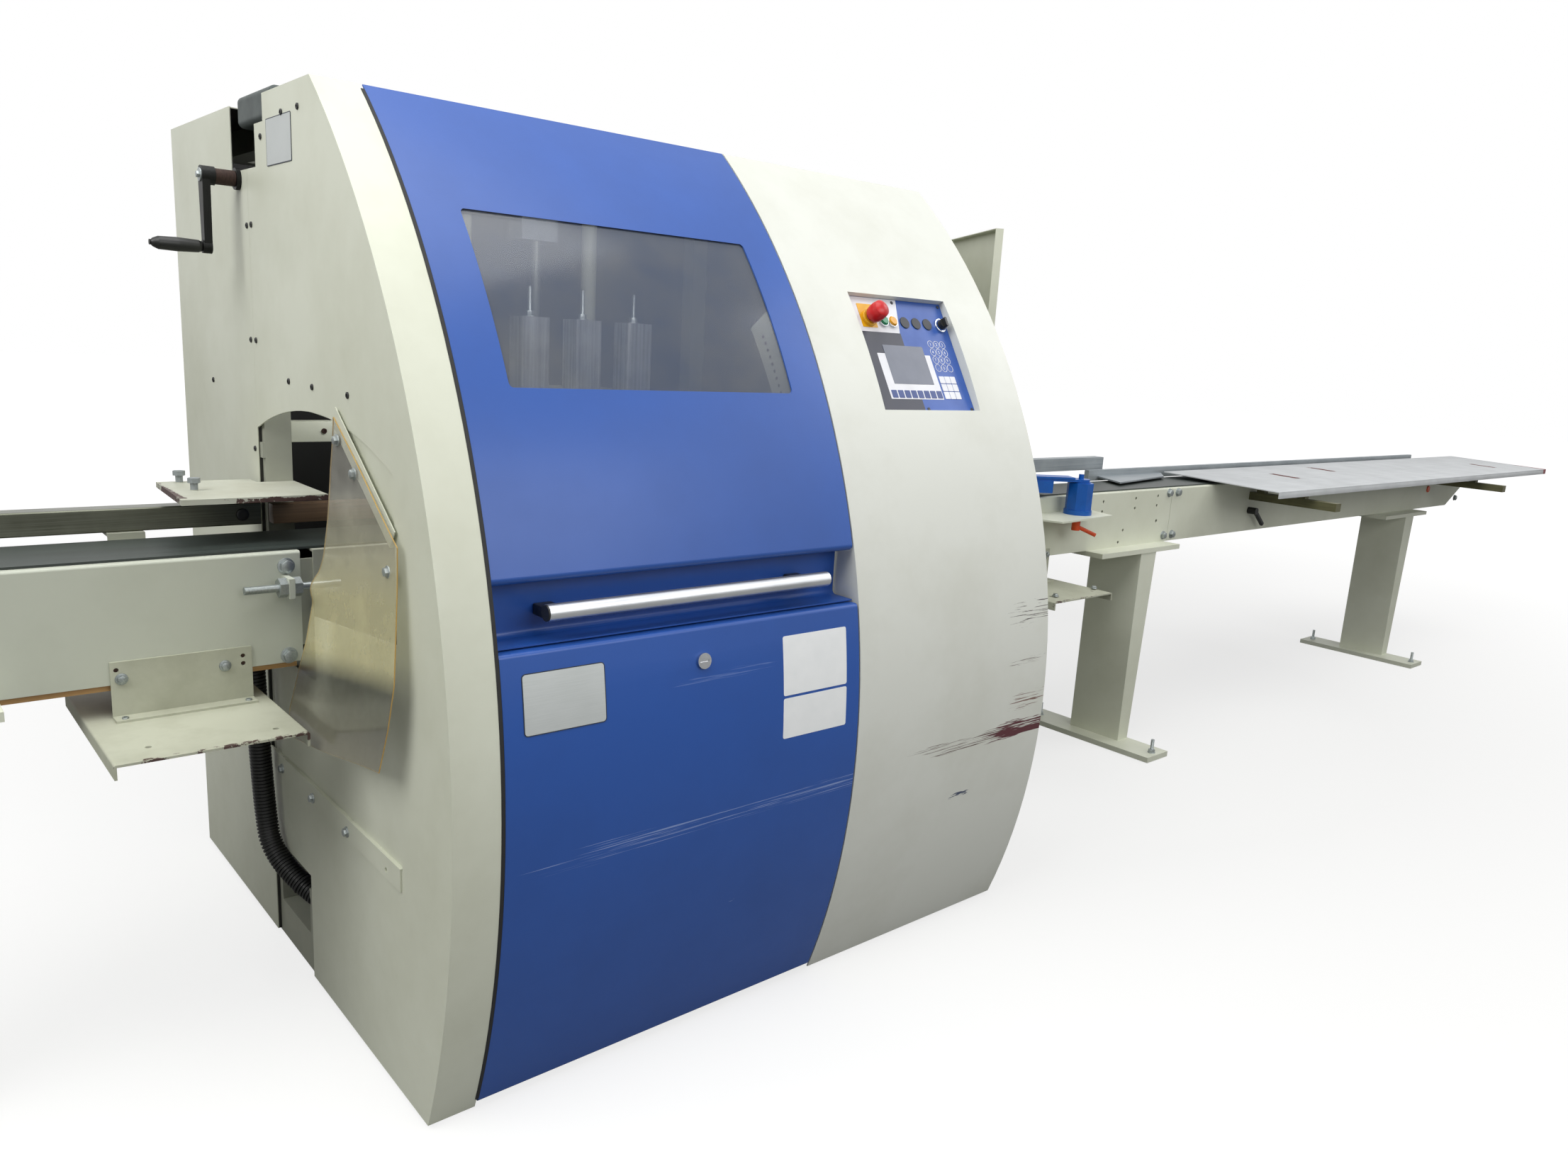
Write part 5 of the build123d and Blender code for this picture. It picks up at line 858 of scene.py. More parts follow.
# %% Curtain sheet
REAR_EDGE = [(1145, -326), (1058, -314), (968, -311), (905, -302), (856, -277)]
REAR_EDGE += [(790, -262), (746, -254), (688, -232), (613, -212), (566, -222)]
FRONT_EDGE = [(972, -600), (900, -610), (826, -618), (764, -624), (690, -612), (614, -590)]
FRONT_TOP, FRONT_DROP, REAR_TOP, REAR_DROP = 972.0, 358.0, 1144.0, 577.0
LIP_T, SHEET_T, SHEET_TOP, SHEET_FALL = 6.4, 2.0, 1143.0, 571.0
SWING, REAR_SWING, SLACK = 44.0, 18.0, 3.0
ROD_Y, ROD_Z, ROD_PUSH, DENT_WIDE, DENT_TALL = -288.0, 846.0, 11.0, 36.0, 34.0
ROWS, COLS = 60, 34


def edge_y(edge, z):
    """Place of an edge of the sheet at a height, in mm."""
    for (z1, y1), (z0, y0) in zip(edge, edge[1:]):
        if z >= z0:
            return y1 + (y0 - y1) * (z1 - z) / (z1 - z0)
    return edge[-1][1]


def curtain_point(across, down):
    """Point of the sheet; across runs from front to rear, down from the lip to the hem."""
    z_front, z_rear = FRONT_TOP - FRONT_DROP * down, REAR_TOP - REAR_DROP * down
    z = z_front + (z_rear - z_front) * across
    y_front = edge_y(FRONT_EDGE, z_front)
    y = y_front + (edge_y(REAR_EDGE, z_rear) - y_front) * across
    fall = max(0.0, (SHEET_TOP - z) / SHEET_FALL)
    out = (SWING + REAR_SWING * across) * fall**1.7
    # Slack of the sheet between its bolts, and the push of the rod's end near the rear edge
    out += SLACK * sin(across * 7.0 + down * 4.0) * fall
    near = ((y - ROD_Y) / DENT_WIDE) ** 2 + ((z - ROD_Z) / DENT_TALL) ** 2
    out += ROD_PUSH * max(0.0, 1.0 - near) ** 2
    return Vector((XL - LIP_T - SHEET_T / 2 - max(0.0, out), y, z)) * MM


grid = [curtain_point(c / COLS, r / ROWS) for r in range(ROWS + 1) for c in range(COLS + 1)]
starts = [r * (COLS + 1) + c for r in range(ROWS) for c in range(COLS)]
curtain = mesh_piece("chip_curtain", grid, [(a, a + 1, a + COLS + 2, a + COLS + 1) for a in starts])
for finish in (finishes["clear_sheet"], cut_edge):
    curtain.data.materials.append(finish)
edit(curtain)
wall = curtain.modifiers.new("wall", "SOLIDIFY")
wall.thickness = SHEET_T * MM
wall.offset = 0.0
wall.material_offset_rim = 1
bpy.ops.object.modifier_apply(modifier="wall")
bpy.ops.object.shade_smooth_by_angle(angle=radians(40))
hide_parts("infeed_curtain")
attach(curtain, "cabinet")

# %% Hose finish and its ties
TIE_SHARES = (0.30, 0.86)
hose.data.materials.append(finishes["conduit_black"])
tie_model = turned_disc("hose_tie_model", 22.4, 5.0, 40, 0.8)
for k, share in enumerate(TIE_SHARES):
    place, direction = along(hose_line, share * hose_length)
    set_down(tie_model, f"hose_tie_{k + 1}", place / MM, direction, "black_plastic", black_rubber_and_shade)
put_away(tie_model)
print("hose ties at", TIE_SHARES, "of the length")

# %% [markdown]
# ## The control panel
# The panel lies in a shallow recess of the cream sheet and leans back with it. Everything on it is drawn
# flat, in millimetres from its lower left corner, and then stood up by one matrix. The foil's fields, the
# display and the keys are thin plates; only the digits of the number keys are lettering.

# %% Panel frame
ARC_Y, ARC_Z, FRONT_R = 753.5, 543.0, 1511.0
PANEL_CENTRE_X, PANEL_LOW_Z, PANEL_W, PANEL_H = -1239.5, 1186.0, 300.0, 270.0
PANEL_SUNK, FOIL_SUNK = 14.0, 0.1
half_turn = asin(PANEL_H / 2 / FRONT_R)
lean = asin((PANEL_LOW_Z - ARC_Z) / FRONT_R) + half_turn
face_normal = Vector((0, -cos(lean), sin(lean)))
face_up = Vector((0, sin(lean), cos(lean)))
face_middle = Vector((PANEL_CENTRE_X, ARC_Y, ARC_Z)) + face_normal * (FRONT_R * cos(half_turn) - PANEL_SUNK)
panel_matrix = Matrix((Vector((1, 0, 0)), face_up, face_normal)).transposed().to_4x4()
panel_matrix.translation = face_middle * MM
panel_matrix = panel_matrix @ Matrix.Translation(Vector((-PANEL_W / 2, -PANEL_H / 2, -FOIL_SUNK)) * MM)
print("panel leans back by", round(degrees(lean), 1), "degrees")

# %% Thin plates
def thin_plate(name, low, high, height, corner=0.0, edge=0.0, base=0.0):
    """Plate in the XY plane, in mm, with rounded corners and a bevelled upper rim."""
    deselect()
    width, length = high[0] - low[0], high[1] - low[1]
    middle = ((low[0] + high[0]) / 2 * MM, (low[1] + high[1]) / 2 * MM, base * MM)
    bpy.ops.mesh.primitive_plane_add(size=1.0, location=middle)
    plate = bpy.context.object
    plate.name = name
    plate.scale = (width * MM, length * MM, 1.0)
    bpy.ops.object.transform_apply(location=True, rotation=True, scale=True)
    bpy.ops.object.mode_set(mode="EDIT")
    bpy.ops.mesh.select_all(action="SELECT")
    if corner:
        bpy.ops.mesh.bevel(offset=corner * MM, segments=5, affect="VERTICES")
        bpy.ops.mesh.select_all(action="SELECT")
    bpy.ops.mesh.extrude_region_move(TRANSFORM_OT_translate={"value": (0, 0, height * MM)})
    bpy.ops.mesh.select_all(action="SELECT")
    bpy.ops.mesh.normals_make_consistent(inside=False)
    close_edit()
    if edge:
        turn_off_rim(plate, edge)
    return plate


# Satin printed films: white, charcoal and dark blue, and a glossier grey pane over the display
foil_white = moulded("white_printed_foil", ("#E4E5EA", "#D9DADF"), 0.42, 0.6, 0.1)
foil_dark = moulded("charcoal_printed_foil", ("#2B2E3C", "#343745"), 0.42, 0.6, 0.1)
foil_grey = moulded("grey_display_pane", ("#4E566A", "#464E61"), 0.16, 0.6, 0.03)
key_blue = moulded("dark_blue_key_foil", ("#26407F", "#203872"), 0.4, 0.6, 0.1)
# Dull charcoal plugs and a clear yellow for the plate under the stop button
plug_black = moulded("charcoal_hole_plug", ("#2C2E33", "#36383D"), 0.5)
plate_yellow = moulded("yellow_sign_plastic", ("#E6AE17", "#D79E10"), 0.4)
FIELD_SLANT, SLANT_FROM = 0.24, 100
fields = [
    ("panel_field_dark", (1, 1), (139, 188), 0.25, foil_dark, 0.0),
    ("panel_field_white", (1, 188), (137, 269), 0.30, foil_white, 0.0),
    ("panel_stop_plate", (30, 198), (74, 253), 0.9, plate_yellow, 0.25),
    ("panel_display_frame", (46, 32), (210, 138), 0.45, foil_white, 0.0),
    ("panel_display", (69, 67), (193, 158), 0.75, foil_grey, 0.0),
]
for name, low, high, height, finish, base in fields:
    field = thin_plate(name, low, high, height, 1.5, 0.1, base)
    if name == "panel_field_white":
        for vertex in field.data.vertices:
            if vertex.co.x > SLANT_FROM * MM:
                vertex.co.x += (vertex.co.y - low[1] * MM) * FIELD_SLANT
    dress(field, "cabinet", finish, panel_matrix)
print("panel fields:", len(fields))

# %% Keys and digits
SOFT_KEY_COUNT, FUNCTION_KEY_COUNT = 8, 9
SOFT_KEY_U, SOFT_KEY_V, SOFT_KEY_STEP = 59.6, 43.5, 20.0
# First place and steps of the keys that lie in rows of three
FUNCTION_KEYS, NUMBER_KEYS = ((224.3, 79.8), (18.0, 18.7)), ((225.2, 166.2), (19.4, 19.2))
NUMBERS = ["1", "2", "3", "4", "5", "6", "7", "8", "9", ".", "0", ""]
DIGIT_SIZE, DIGIT_HALF_T = 10.5, 0.12
key_model = thin_plate("square_key_model", (-8.2, -8.5), (8.2, 8.5), 0.9, 1.2, 0.3)
soft_key_model = thin_plate("soft_key_model", (-8.0, -8.8), (8.0, 8.8), 0.8, 1.2, 0.3)


def at_panel(u, v, h):
    """Matrix that carries a flat piece to a place on the panel, in mm."""
    return panel_matrix @ Matrix.Translation(Vector((u, v, h)) * MM)


def panel_copy(model, name, u, v, h, finish, slot="foil_blue", body="cabinet"):
    """Copies a flat model onto the panel."""
    return dress(twin_of(model, name), body, finish, at_panel(u, v, h))


def key_place(k, first, step):
    """Place of a key in rows of three, from the upper left one."""
    return first[0] + step[0] * (k % 3), first[1] - step[1] * (k // 3)


def ring_key(name, outer, inner, height):
    """Raised ring: a disc whose middle is inset on both sides and bridged through."""
    piece = round_bar(name, outer, height, 36)
    pick_faces(piece, lambda normal: abs(normal.z) > UPWARD)
    bpy.ops.mesh.inset(thickness=(outer - inner) * MM, use_individual=True)
    bpy.ops.mesh.bridge_edge_loops()
    close_edit()
    bpy.ops.object.shade_smooth_by_angle(angle=CREASE)
    return piece


for k in range(SOFT_KEY_COUNT):
    u = SOFT_KEY_U + SOFT_KEY_STEP * k
    panel_copy(soft_key_model, f"soft_key_{k + 1}", u, SOFT_KEY_V, 0.45, key_blue)
for k in range(FUNCTION_KEY_COUNT):
    panel_copy(key_model, f"function_key_{k + 1}", *key_place(k, *FUNCTION_KEYS), 0.05, foil_white)
ring_model = ring_key("number_key_model", 9.0, 8.1, 0.5)
for k, number in enumerate(NUMBERS):
    u, v = key_place(k, *NUMBER_KEYS)
    panel_copy(ring_model, f"number_ring_{k + 1}", u, v, 0.02, foil_white)
    if number:
        deselect()
        bpy.ops.object.text_add()
        digit = bpy.context.object
        digit.name = f"number_digit_{k + 1}"
        digit.data.body = number
        digit.data.align_x, digit.data.align_y = "CENTER", "CENTER"
        digit.data.size = DIGIT_SIZE * MM
        digit.data.extrude = DIGIT_HALF_T * MM
        bpy.ops.object.convert(target="MESH")
        dress(digit, "cabinet", foil_white, at_panel(u, v, 0.1))
put_away(key_model, soft_key_model, ring_model)
print("keys:", SOFT_KEY_COUNT + FUNCTION_KEY_COUNT + len(NUMBERS))

# %% [markdown]
# The push buttons and the selector sit in bright chromed collars, the unused holes are closed with dark
# plugs, and six countersunk screws hold the plate. A collar is a ring with its upper rim turned off.

# %% Collars, plugs and screws
def collar(name, outer, inner, height, round_off):
    """Ring with its upper rim turned off."""
    piece = ring_key(name, outer, inner, height)
    turn_off_rim(piece, round_off, 3)
    return piece


BUTTON_V, STOP_V, LENS_LIFT = 214.0, 218.0, 3.5
button_u = {}
for node in ("emergency_stop", "start_button", "reset_button", "selector_knob"):
    low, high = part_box(node)
    button_u[node] = (low.x + high.x) / 2 / MM - PANEL_CENTRE_X + PANEL_W / 2
collar_model = collar("collar_model", 13.3, 11.4, 5.5, 0.6)
lens_model = collar("lens_model", 11.2, 9.6, 3.4, 0.6)
selector_collar = collar("selector_collar_model", 17.0, 12.0, 5.0, 1.2)
stop_collar = collar("stop_collar_model", 19.0, 9.6, 8.4, 1.6)
plug_model = turned_disc("plug_model", 13.5, 2.2, 40, 0.8)
screw_model = turned_disc("panel_screw_model", 4.0, 1.4, 20, 0.7)
u = button_u["emergency_stop"]
panel_copy(stop_collar, "emergency_stop_collar", u, STOP_V, 0.0, plate_yellow, "yellow_plastic")
for node, slot in (("start_button", "green_plastic"), ("reset_button", "yellow_plastic")):
    u = button_u[node]
    panel_copy(collar_model, node + "_collar", u, BUTTON_V, 0.0, chrome, "anodised_aluminium")
    panel_copy(lens_model, node + "_lens_rim", u, BUTTON_V, LENS_LIFT, finishes[slot], slot, node)
u = button_u["selector_knob"]
panel_copy(selector_collar, "selector_knob_collar", u, BUTTON_V, 0.0, chrome, "anodised_aluminium")
for k, u in enumerate((163, 199, 235)):
    panel_copy(plug_model, f"hole_plug_{k + 1}", u, BUTTON_V + 1, 0.0, plug_black, "black_plastic")
for k, (u, v) in enumerate([(9, 262), (142, 262), (291, 262), (9, 9), (150, 9), (291, 9)]):
    panel_copy(screw_model, f"panel_screw_{k + 1}", u, v, 0.0, plug_black, "black_plastic")
put_away(collar_model, lens_model, selector_collar, stop_collar, plug_model, screw_model)
print("buttons with a collar:", sorted(button_u))

# %% [markdown]
# ## Plates and screws on the sheets
# A bare type plate sits on the left side, a bare notice plate and two bare labels on the lower cover. The
# cover is bowed, so a flat plate would stand off at its ends: it is drawn flat, cut across into strips,
# and each point is then laid round the cover's arc.

# %% Plates on the front
def arc_point(x, along_arc, h):
    """Point so far along the bowed front's arc above its bulge, and h out from it, in metres."""
    turn, reach = along_arc / (FRONT_R * MM), FRONT_R * MM + h
    return Vector((x, ARC_Y * MM - reach * cos(turn), ARC_Z * MM + reach * sin(turn)))


def arc_height(z):
    """Arc length above the bulge for a height, in mm."""
    return FRONT_R * asin((z - ARC_Z) / FRONT_R)


def cut_across(piece, low, high, count, axis):
    """Cuts a piece into equal lengths between two places along an axis, in mm."""
    open_all(piece)
    for k in range(1, count):
        bpy.ops.mesh.select_all(action="SELECT")
        level = (low + (high - low) * k / count) * MM
        bpy.ops.mesh.bisect(plane_co=[level * a for a in axis], plane_no=axis)
    close_edit()


def framed(plate, rim, border, face):
    """Insets a plate's upper face by a rim in mm and gives the rim and the face their finishes."""
    pick_faces(plate)
    bpy.ops.mesh.inset(thickness=rim * MM)
    close_edit()
    for finish in (border, face):
        plate.data.materials.append(finish)
    for polygon in plate.data.polygons:
        polygon.material_index = int(polygon.select)


def bowed_plate(name, low, high, height, corner, rim, body, slot, border, face, count=8):
    """Plate on the bowed front between two corners in x and z, with a border of another finish."""
    foot, head = arc_height(low[1]), arc_height(high[1])
    plate = thin_plate(name, (low[0], foot), (high[0], head), height, corner, 0.0, -0.05)
    framed(plate, rim, border, face)
    cut_across(plate, foot, head, count, (0, 1, 0))
    for vertex in plate.data.vertices:
        vertex.co = arc_point(*vertex.co)
    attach(plate, body)


# Bright white film, and a dull dark border that sets a plate off from its sheet
label_white = moulded("white_label_vinyl", ("#F3F5F5", "#EBEEEE"), 0.4, 0.6, 0.06)
label_rim = moulded("dark_plate_border", ("#1E2733", "#28313D"), 0.5)
notice = ("lower_cover", "anodised_aluminium", label_rim, dull_plate)
bowed_plate("notice_plate", (-2268.5, 691), (-2120.5, 789), 0.8, 7.0, 1.6, *notice)
label = ("lower_cover", "cream_paint", label_white, label_white)
for k, (z0, z1) in enumerate(((671, 782), (589, 666))):
    bowed_plate(f"bare_label_{k + 1}", (-1741.5, z0), (-1581.5, z1), 0.35, 4.0, 0.8, *label)
# A black strip along the gap beside the hood: its rubber seal, and painted shade of the gap
seal = ("cabinet", "black_plastic", black_rubber_and_shade, black_rubber_and_shade)
bowed_plate("hood_gap_seal_and_shade", (-2309.5, 24), (-2303.2, 1678), 0.8, 0.6, 0.5, *seal, count=40)
print("plates and seal on the front: 4")

# %% Plates and screws on the left side
left_matrix = Matrix(((0, 0, -1, XL * MM), (-1, 0, 0, 0), (0, 1, 0, 0), (0, 0, 0, 1)))
type_plate = thin_plate("type_plate", (4.5, 1561), (139.5, 1641), 0.9, 3.0)
framed(type_plate, 1.6, label_rim, dull_plate)
type_plate.data.transform(left_matrix)
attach(type_plate, "cabinet")


# Shares of a screw's height that are rounded and sunk, and of its radius that stays round the socket
SCREW_ROUND, SOCKET_DEPTH, SOCKET_RIM = 0.45, 0.7, 0.25


def socket_screw(name, radius, height):
    """Button-head screw with a socket sunk in it."""
    head = turned_disc(name, radius, height, 24, SCREW_ROUND * height)
    pick_faces(head)
    bpy.ops.mesh.inset(thickness=SOCKET_RIM * radius * MM)
    sink = (0, 0, -SOCKET_DEPTH * height * MM)
    bpy.ops.mesh.extrude_region_move(TRANSFORM_OT_translate={"value": sink})
    close_edit()
    bpy.ops.object.shade_smooth_by_angle(angle=CREASE)
    return head


dark_screw_model = socket_screw("dark_screw_model", 5.5, 2.6)
side_screws = [(131.5, 1465), (104.5, 1466), (135.5, 1253), (103.5, 1253), (137.5, 1042), (416.5, 1159)]
side_screws += [(-81.5, 1187), (-205.5, 1185), (-373.5, 1183), (-90.5, 1644), (-175.5, 1644), (28.5, 1615)]
curtain_bolts = [(XL - 9.2, -346.5, 1108), (XL - 9.2, -419.5, 1061), (XL - 16.6, -572.0, 930)]
strip_bolts = [(XL - 3.3, y, 403) for y in (-325.5, -145.5, 34.5)]
set_row(dark_screw_model, "side_screw", [(XL, y, z) for y, z in side_screws], TO_LEFT, "black_plastic")
set_row(small_bolt_model, "curtain_bolt", curtain_bolts, TO_LEFT, spin=31)
set_row(small_bolt_model, "strip_bolt", strip_bolts, TO_LEFT, spin=19)
print("screws and bolts on the left side:", len(side_screws + curtain_bolts + strip_bolts))

# %% [markdown]
# ## Levelling bolts and small parts on the conveyors
# Every leg stands on a foot with two levelling bolts: a threaded stud with a nut. The thread is drawn as
# turned grooves, because a helix that fine would not show. Beside them go the plywood packing under the
# infeed beam, the brown wear bar inside the arch, the reflector and the red cap by the tensioner.

# %% Levelling bolts
THREAD_PITCH, THREAD_ROOT, NUT_H, NUT_WASHER_R = 1.75, 0.9, 10.0, 13.0
FEET_X, FEET_Y, FOOT_TOP = (-3106.5, 304.5, 2531.5), (-351.0, 111.0), 18


def stud_with_nut(name, radius, height, across):
    """Stud with turned grooves for a thread, and a nut with a washer near its foot."""
    count = 2 * int(height / THREAD_PITCH)
    stud = round_bar(name, radius, height, 20)
    cut_across(stud, 0, height, count, (0, 0, 1))
    for vertex in stud.data.vertices:
        groove = round(vertex.co.z / (height / count * MM)) % 2
        vertex.co.xy = vertex.co.xy * (THREAD_ROOT if groove else 1.0)
    washer = turned_disc(name + "_washer", NUT_WASHER_R, WASHER_T, 32, WASHER_RIM)
    nut = turned_disc(name + "_nut", across * HEX_CORNER, NUT_H, 6, HEX_RIM, WASHER_T)
    return joined(name, [stud, washer, nut])


stud_model = stud_with_nut("stud_model", 6.0, 46.0, 19.0)
for k, x in enumerate(FEET_X):
    for j, y in enumerate(FEET_Y):
        name, turned = f"levelling_bolt_{2 * k + j + 1}", 25 * k + 40 * j
        set_down(stud_model, name, (x, y, FOOT_TOP), TO_UP, spin=turned)
shelf_bolts = [(-331.5, -337.5, 628), (-119.5, -325.5, 628)]
set_row(small_bolt_model, "shelf_bolt", shelf_bolts, TO_UP, spin=33)
print("levelling bolts:", len(FEET_X) * len(FEET_Y))

# %% Plywood packing and wear bar
def grained_wood(name, colours, rough, grain, detail):
    """Wood with its plies or its grain; grain is their size in mm along x, y and z."""
    material, tree, shader, spot = open_finish(name, ior=1.5, roughness=rough)
    lines = lines_along(tree, spot, grain, detail)
    tint = add(tree, "MixRGB", {"Fac": lines, "Color1": colours[0], "Color2": colours[1]})
    feed(tree, shader, base_color=tint)
    return material


def bar_shape(name, low, high, edge):
    """Bar between two corners in mm with broken edges."""
    piece = thin_plate(name, low[:2], high[:2], high[2] - low[2], base=low[2])
    open_all(piece, "EDGE")
    bpy.ops.mesh.bevel(offset=edge * MM, segments=2, affect="EDGES")
    close_edit()
    bpy.ops.object.shade_smooth_by_angle(angle=CREASE)
    return piece


# Pale and brown plies, 3.5 mm each, which show on the sawn edge
plywood = grained_wood("birch_plywood", ("#8A6238", "#C09A66"), 0.62, (300, 300, 3.5), 2.0)
# Dark wood rubbed along the feed
wear_wood = grained_wood("worn_wear_strip", ("#3A2A20", "#7A6248"), 0.5, (250, 6, 6), 4.0)
packing = bar_shape("plywood_packing", (XL - 480, -150, 672), (XL - 25, 48, 682.8), 0.6)
dress(packing, "cabinet", plywood)
wear_bar = bar_shape("wear_bar", (XL + 6, 62, 902), (XL + 500, 92, 940), 1.5)
dress(wear_bar, "cabinet", wear_wood)
arch_bracket = bar_shape("arch_bracket", (XL + 57, 103, 1057), (XL + 152, 140, 1098), 2.0)
dress(arch_bracket, "cabinet", finishes["cream_paint"])
set_down(dark_screw_model, "arch_screw", (XL + 122, 103, 1079), TO_FRONT, "plain_steel", rusty_steel_and_hole_shade)
print("packing, wear bar and bracket at the arch: 3")

# %% Cap, reflector, fence screw and crank nut
CRANK_Y, CRANK_Z = 172.5, 1551
cap_model = turned_disc("cap_model", 9.0, 13.0, 28, 3.0)
set_down(cap_model, "tensioner_cap", (-44.5, -214, 850), TO_RIGHT, "red_plastic")
reflector_model = turned_disc("reflector_model", 16.0, 5.0, 36, 1.6)
set_down(reflector_model, "beam_reflector", (2915.5, BEAM_Y, 792), TO_FRONT, "orange_plastic")
set_down(bolt_model, "far_beam_bolt", (3289.5, BEAM_Y, 733), TO_FRONT)
fence_screw_model = socket_screw("fence_screw_model", 12.0, 4.0)
fence_low, fence_high = box_mm("infeed_fence")
set_down(fence_screw_model, "fence_screw", (fence_high.x - 34, fence_low.y, 923), TO_FRONT, "black_plastic")
cap_nut_model = hex_bolt("cap_nut_model", 11.0, 12.5)
set_down(cap_nut_model, "crank_cap_nut", (XL - 68, CRANK_Y, CRANK_Z), TO_LEFT, body="hand_crank")
bush_model = ring_key("bush_model", 14.6, 13.1, 35.0)
bush_place = (XL - 8.4, CRANK_Y, CRANK_Z)
set_down(bush_model, "crank_bush", bush_place, TO_LEFT, "plain_steel", rusty_steel_and_hole_shade, "hand_crank")
put_away(cap_model, reflector_model, fence_screw_model, cap_nut_model, bush_model, bolt_model)
print("cap, reflector, bolt, screw, nut and bush: 6")

# %% Holes and screws of the shelf brackets, studs of the cylinders
# The bracket holes are not drilled here: rust-brown discs on the beam stand for them, their rust and the
# painted shade inside them
rusty_hole_shade_model = turned_disc("rusty_hole_shade_model", 3.8, 0.8, 20, 0.2)
hole_places = [(shelf_low.x + 50, 709), (XL - 119, 707), (XL - 119, 693)]
bracket_holes = [(x, BEAM_Y, z) for x, z in hole_places]
set_row(rusty_hole_shade_model, "bracket_hole_rust_and_shade", bracket_holes, TO_FRONT, "plain_steel", rusty_steel_and_hole_shade)
foot_screws = [(x, BEAM_Y - 21, 629) for x in (shelf_low.x + 56, XL - 118)]
set_row(dark_screw_model, "angle_foot_screw", foot_screws, TO_UP)
air_stud_model = stud_with_nut("air_stud_model", 4.0, 62.0, 15.0)
unit_low, unit_high = box_mm("pressure_cylinders")
unit_y = (unit_low.y + unit_high.y) / 2
unit_x = (unit_low.x + 32, unit_low.x + 159, unit_high.x - 32)
air_studs = [(x, unit_y, unit_high.z) for x in unit_x]
set_row(air_stud_model, "cylinder_stud", air_studs, TO_UP, body="pressure_beam")
put_away(small_bolt_model, stud_model, dark_screw_model, rusty_hole_shade_model, air_stud_model)
print("holes:", len(bracket_holes), "foot screws:", len(foot_screws), "studs:", len(air_studs))

# %% [markdown]
# ## Handle ends, slotted table and the strip behind the pane
# Seen from the front the handle's tube runs on to its ends, with a dark plug in each and only a slim foot
# behind it, so the brackets are drawn again that way. The side table is drawn again because its three slots
# lie across it: a sheet, a lip under its front edge, and a Boolean for the slots. Behind the pane a
# perforated strip carries on the panel's inner flange; it is drawn flat, cut into short lengths and laid
# along the flange's arc, and its holes are black discs on it, painted shade of the dark behind.

# %% Handle brackets and end plugs
tube_low, tube_high = box_mm("door_handle")
back_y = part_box("handle_brackets")[1].y / MM
axis_y, axis_z = (tube_low.y + tube_high.y) / 2, (tube_low.z + tube_high.z) / 2
bracket_parts = []
for x in (tube_low.x + 6, tube_high.x - 60):
    low, high = (x, axis_y + 8, axis_z - 15), (x + 34, back_y, axis_z + 4)
    bracket_parts.append(bar_shape("bracket_web", low, high, 3.0))
brackets = joined("slim_handle_brackets", bracket_parts)
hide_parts("handle_brackets")
dress(brackets, "hood", finishes["black_plastic"])
end_plug_model = turned_disc("end_plug_model", 13.2, 3.0, 36, 1.0)
for name, x, towards in (("left", tube_low.x + 0.5, TO_LEFT), ("right", tube_high.x - 0.5, TO_RIGHT)):
    place = (x, axis_y, axis_z)
    set_down(end_plug_model, "handle_plug_" + name, place, towards, "black_plastic", body="hood")
put_away(end_plug_model)
print("handle brackets:", len(bracket_parts))

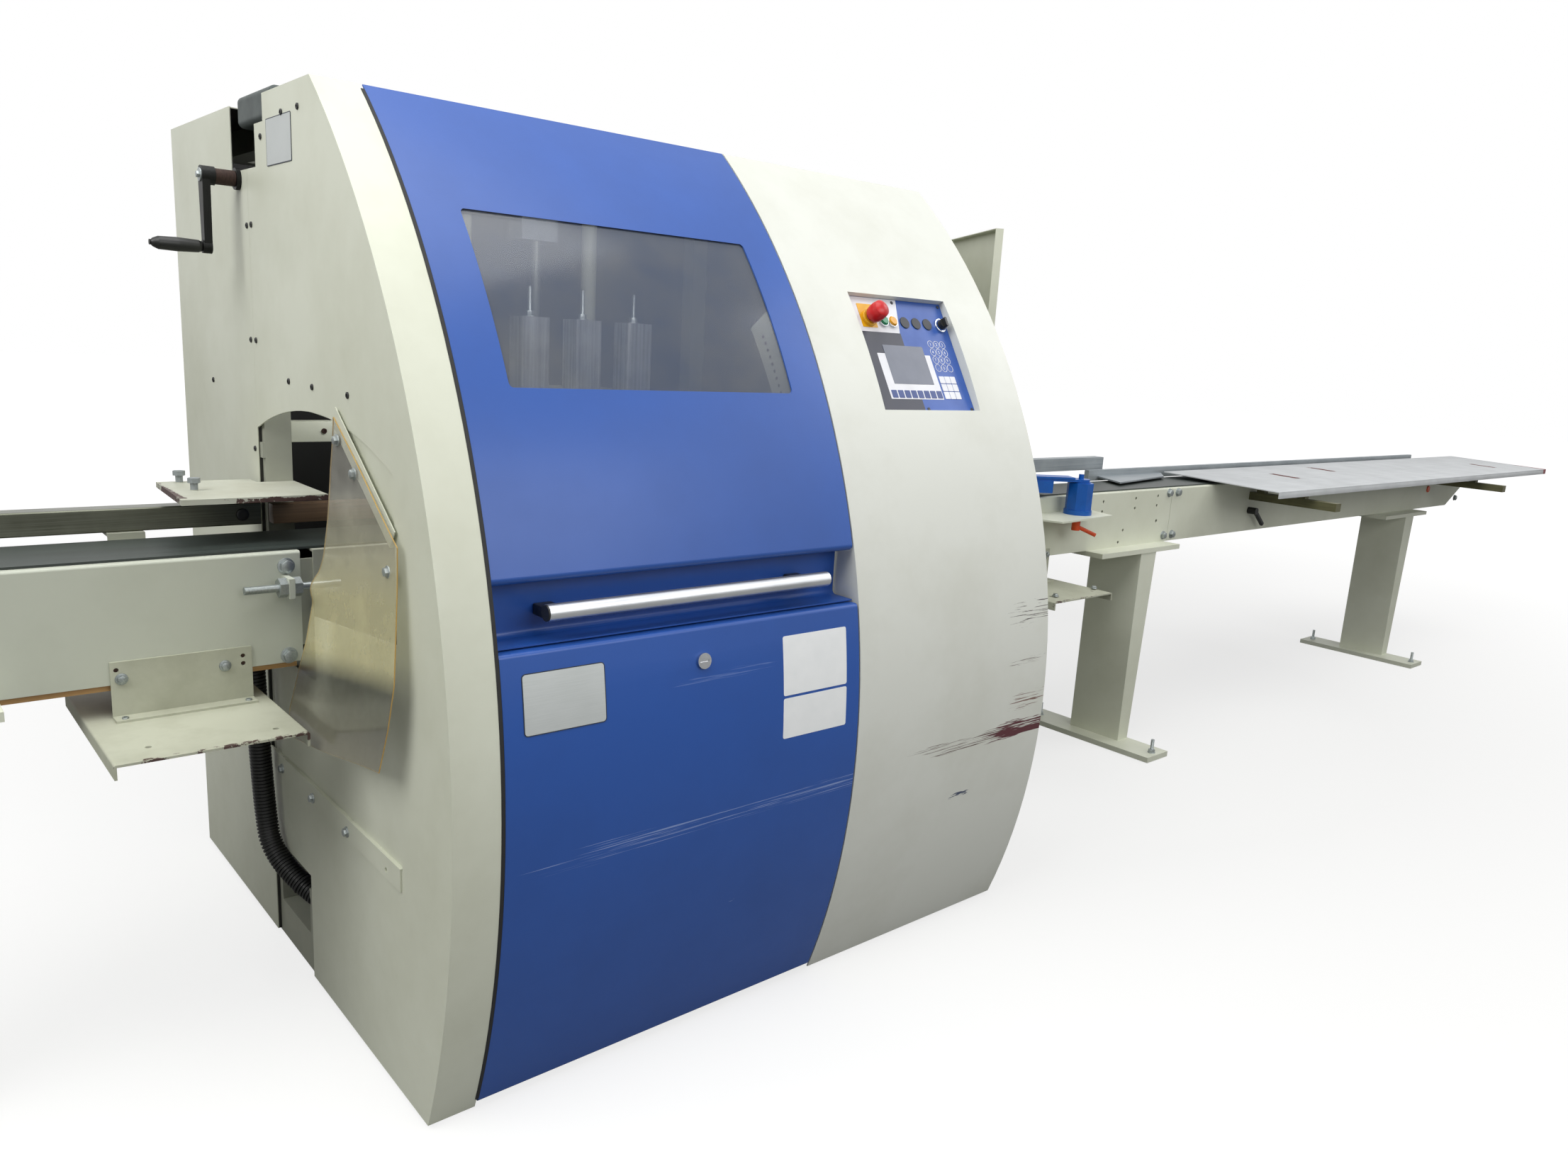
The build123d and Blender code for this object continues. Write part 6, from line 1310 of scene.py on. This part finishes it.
# %% Side table with its slots across
TABLE_T, LIP_H, TABLE_FALL, SLOT_HALF = 4.0, 24.0, 17.0, 8
table_span = table_high - table_low
sheet = bar_shape("slotted_table", (0, 0, -TABLE_T), (table_span.x, table_span.y, 0), 0.3)
lip = bar_shape("table_lip", (0, 0, -LIP_H), (table_span.x, TABLE_T, -TABLE_T + 0.5), 0.3)
cutters = []
for x, near, far in TABLE_SLOTS:
    low = (x - SLOT_HALF - table_low.x, near - table_low.y)
    high = (x + SLOT_HALF - table_low.x, far - table_low.y)
    cutters.append(thin_plate("slot_cutter", low, high, 20.0, 7.0, 0.0, -10.0))
cutter = joined("slot_cutters", cutters)
edit(sheet)
slots = sheet.modifiers.new("slots", "BOOLEAN")
slots.object = cutter
bpy.ops.object.modifier_apply(modifier="slots")
put_away(cutter)
table = joined("slotted_table", [sheet, lip])
for vertex in table.data.vertices:
    vertex.co.z += vertex.co.y * TABLE_FALL / table_span.y
table_place = Matrix.Translation(Vector((table_low.x, table_low.y, table_high.z - TABLE_FALL)) * MM)
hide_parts("side_table")
dress(table, "cabinet", worn_table, table_place)
print("slots across the table:", len(TABLE_SLOTS))

# %% Perforated strip behind the pane
STRIP_T, STRIP_CUTS = 2.0, 14
HOLE_COUNT, HOLE_FIRST, HOLE_STEP, HOLE_INSET = 17, 12, 17.5, 124
flange_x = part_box("right_panel")[0].x
strip_low, strip_high = arc_height(1130), arc_height(1420)
strip = thin_plate("perforated_strip", (-150, strip_low), (-66, strip_high), STRIP_T, 3.0)
cut_across(strip, strip_low, strip_high, STRIP_CUTS, (0, 1, 0))
for vertex in strip.data.vertices:
    h, along_arc, depth = vertex.co
    vertex.co = arc_point(flange_x, along_arc, h) + Vector((STRIP_T * MM - depth, 0, 0))
dress(strip, "cabinet", finishes["frame_paint"])
# The strip's holes are not cut through: black discs on its face stand for them, painted shade of the dark
# behind the strip
strip_hole_shade_model = turned_disc("strip_hole_shade_model", 3.6, 0.5, 16, 0.1)
holes = []
for k in range(HOLE_COUNT):
    hole = twin_of(strip_hole_shade_model, "strip_hole_shade")
    place = arc_point(flange_x, (strip_low + HOLE_FIRST + HOLE_STEP * k) * MM, -HOLE_INSET * MM)
    hole.data.transform(Matrix.Translation(place) @ Matrix.Rotation(radians(-90), 4, "Y"))
    holes.append(hole)
put_away(strip_hole_shade_model)
dress(joined("strip_hole_shades", holes), "cabinet", black_rubber_and_shade)
print("holes in the strip:", HOLE_COUNT)
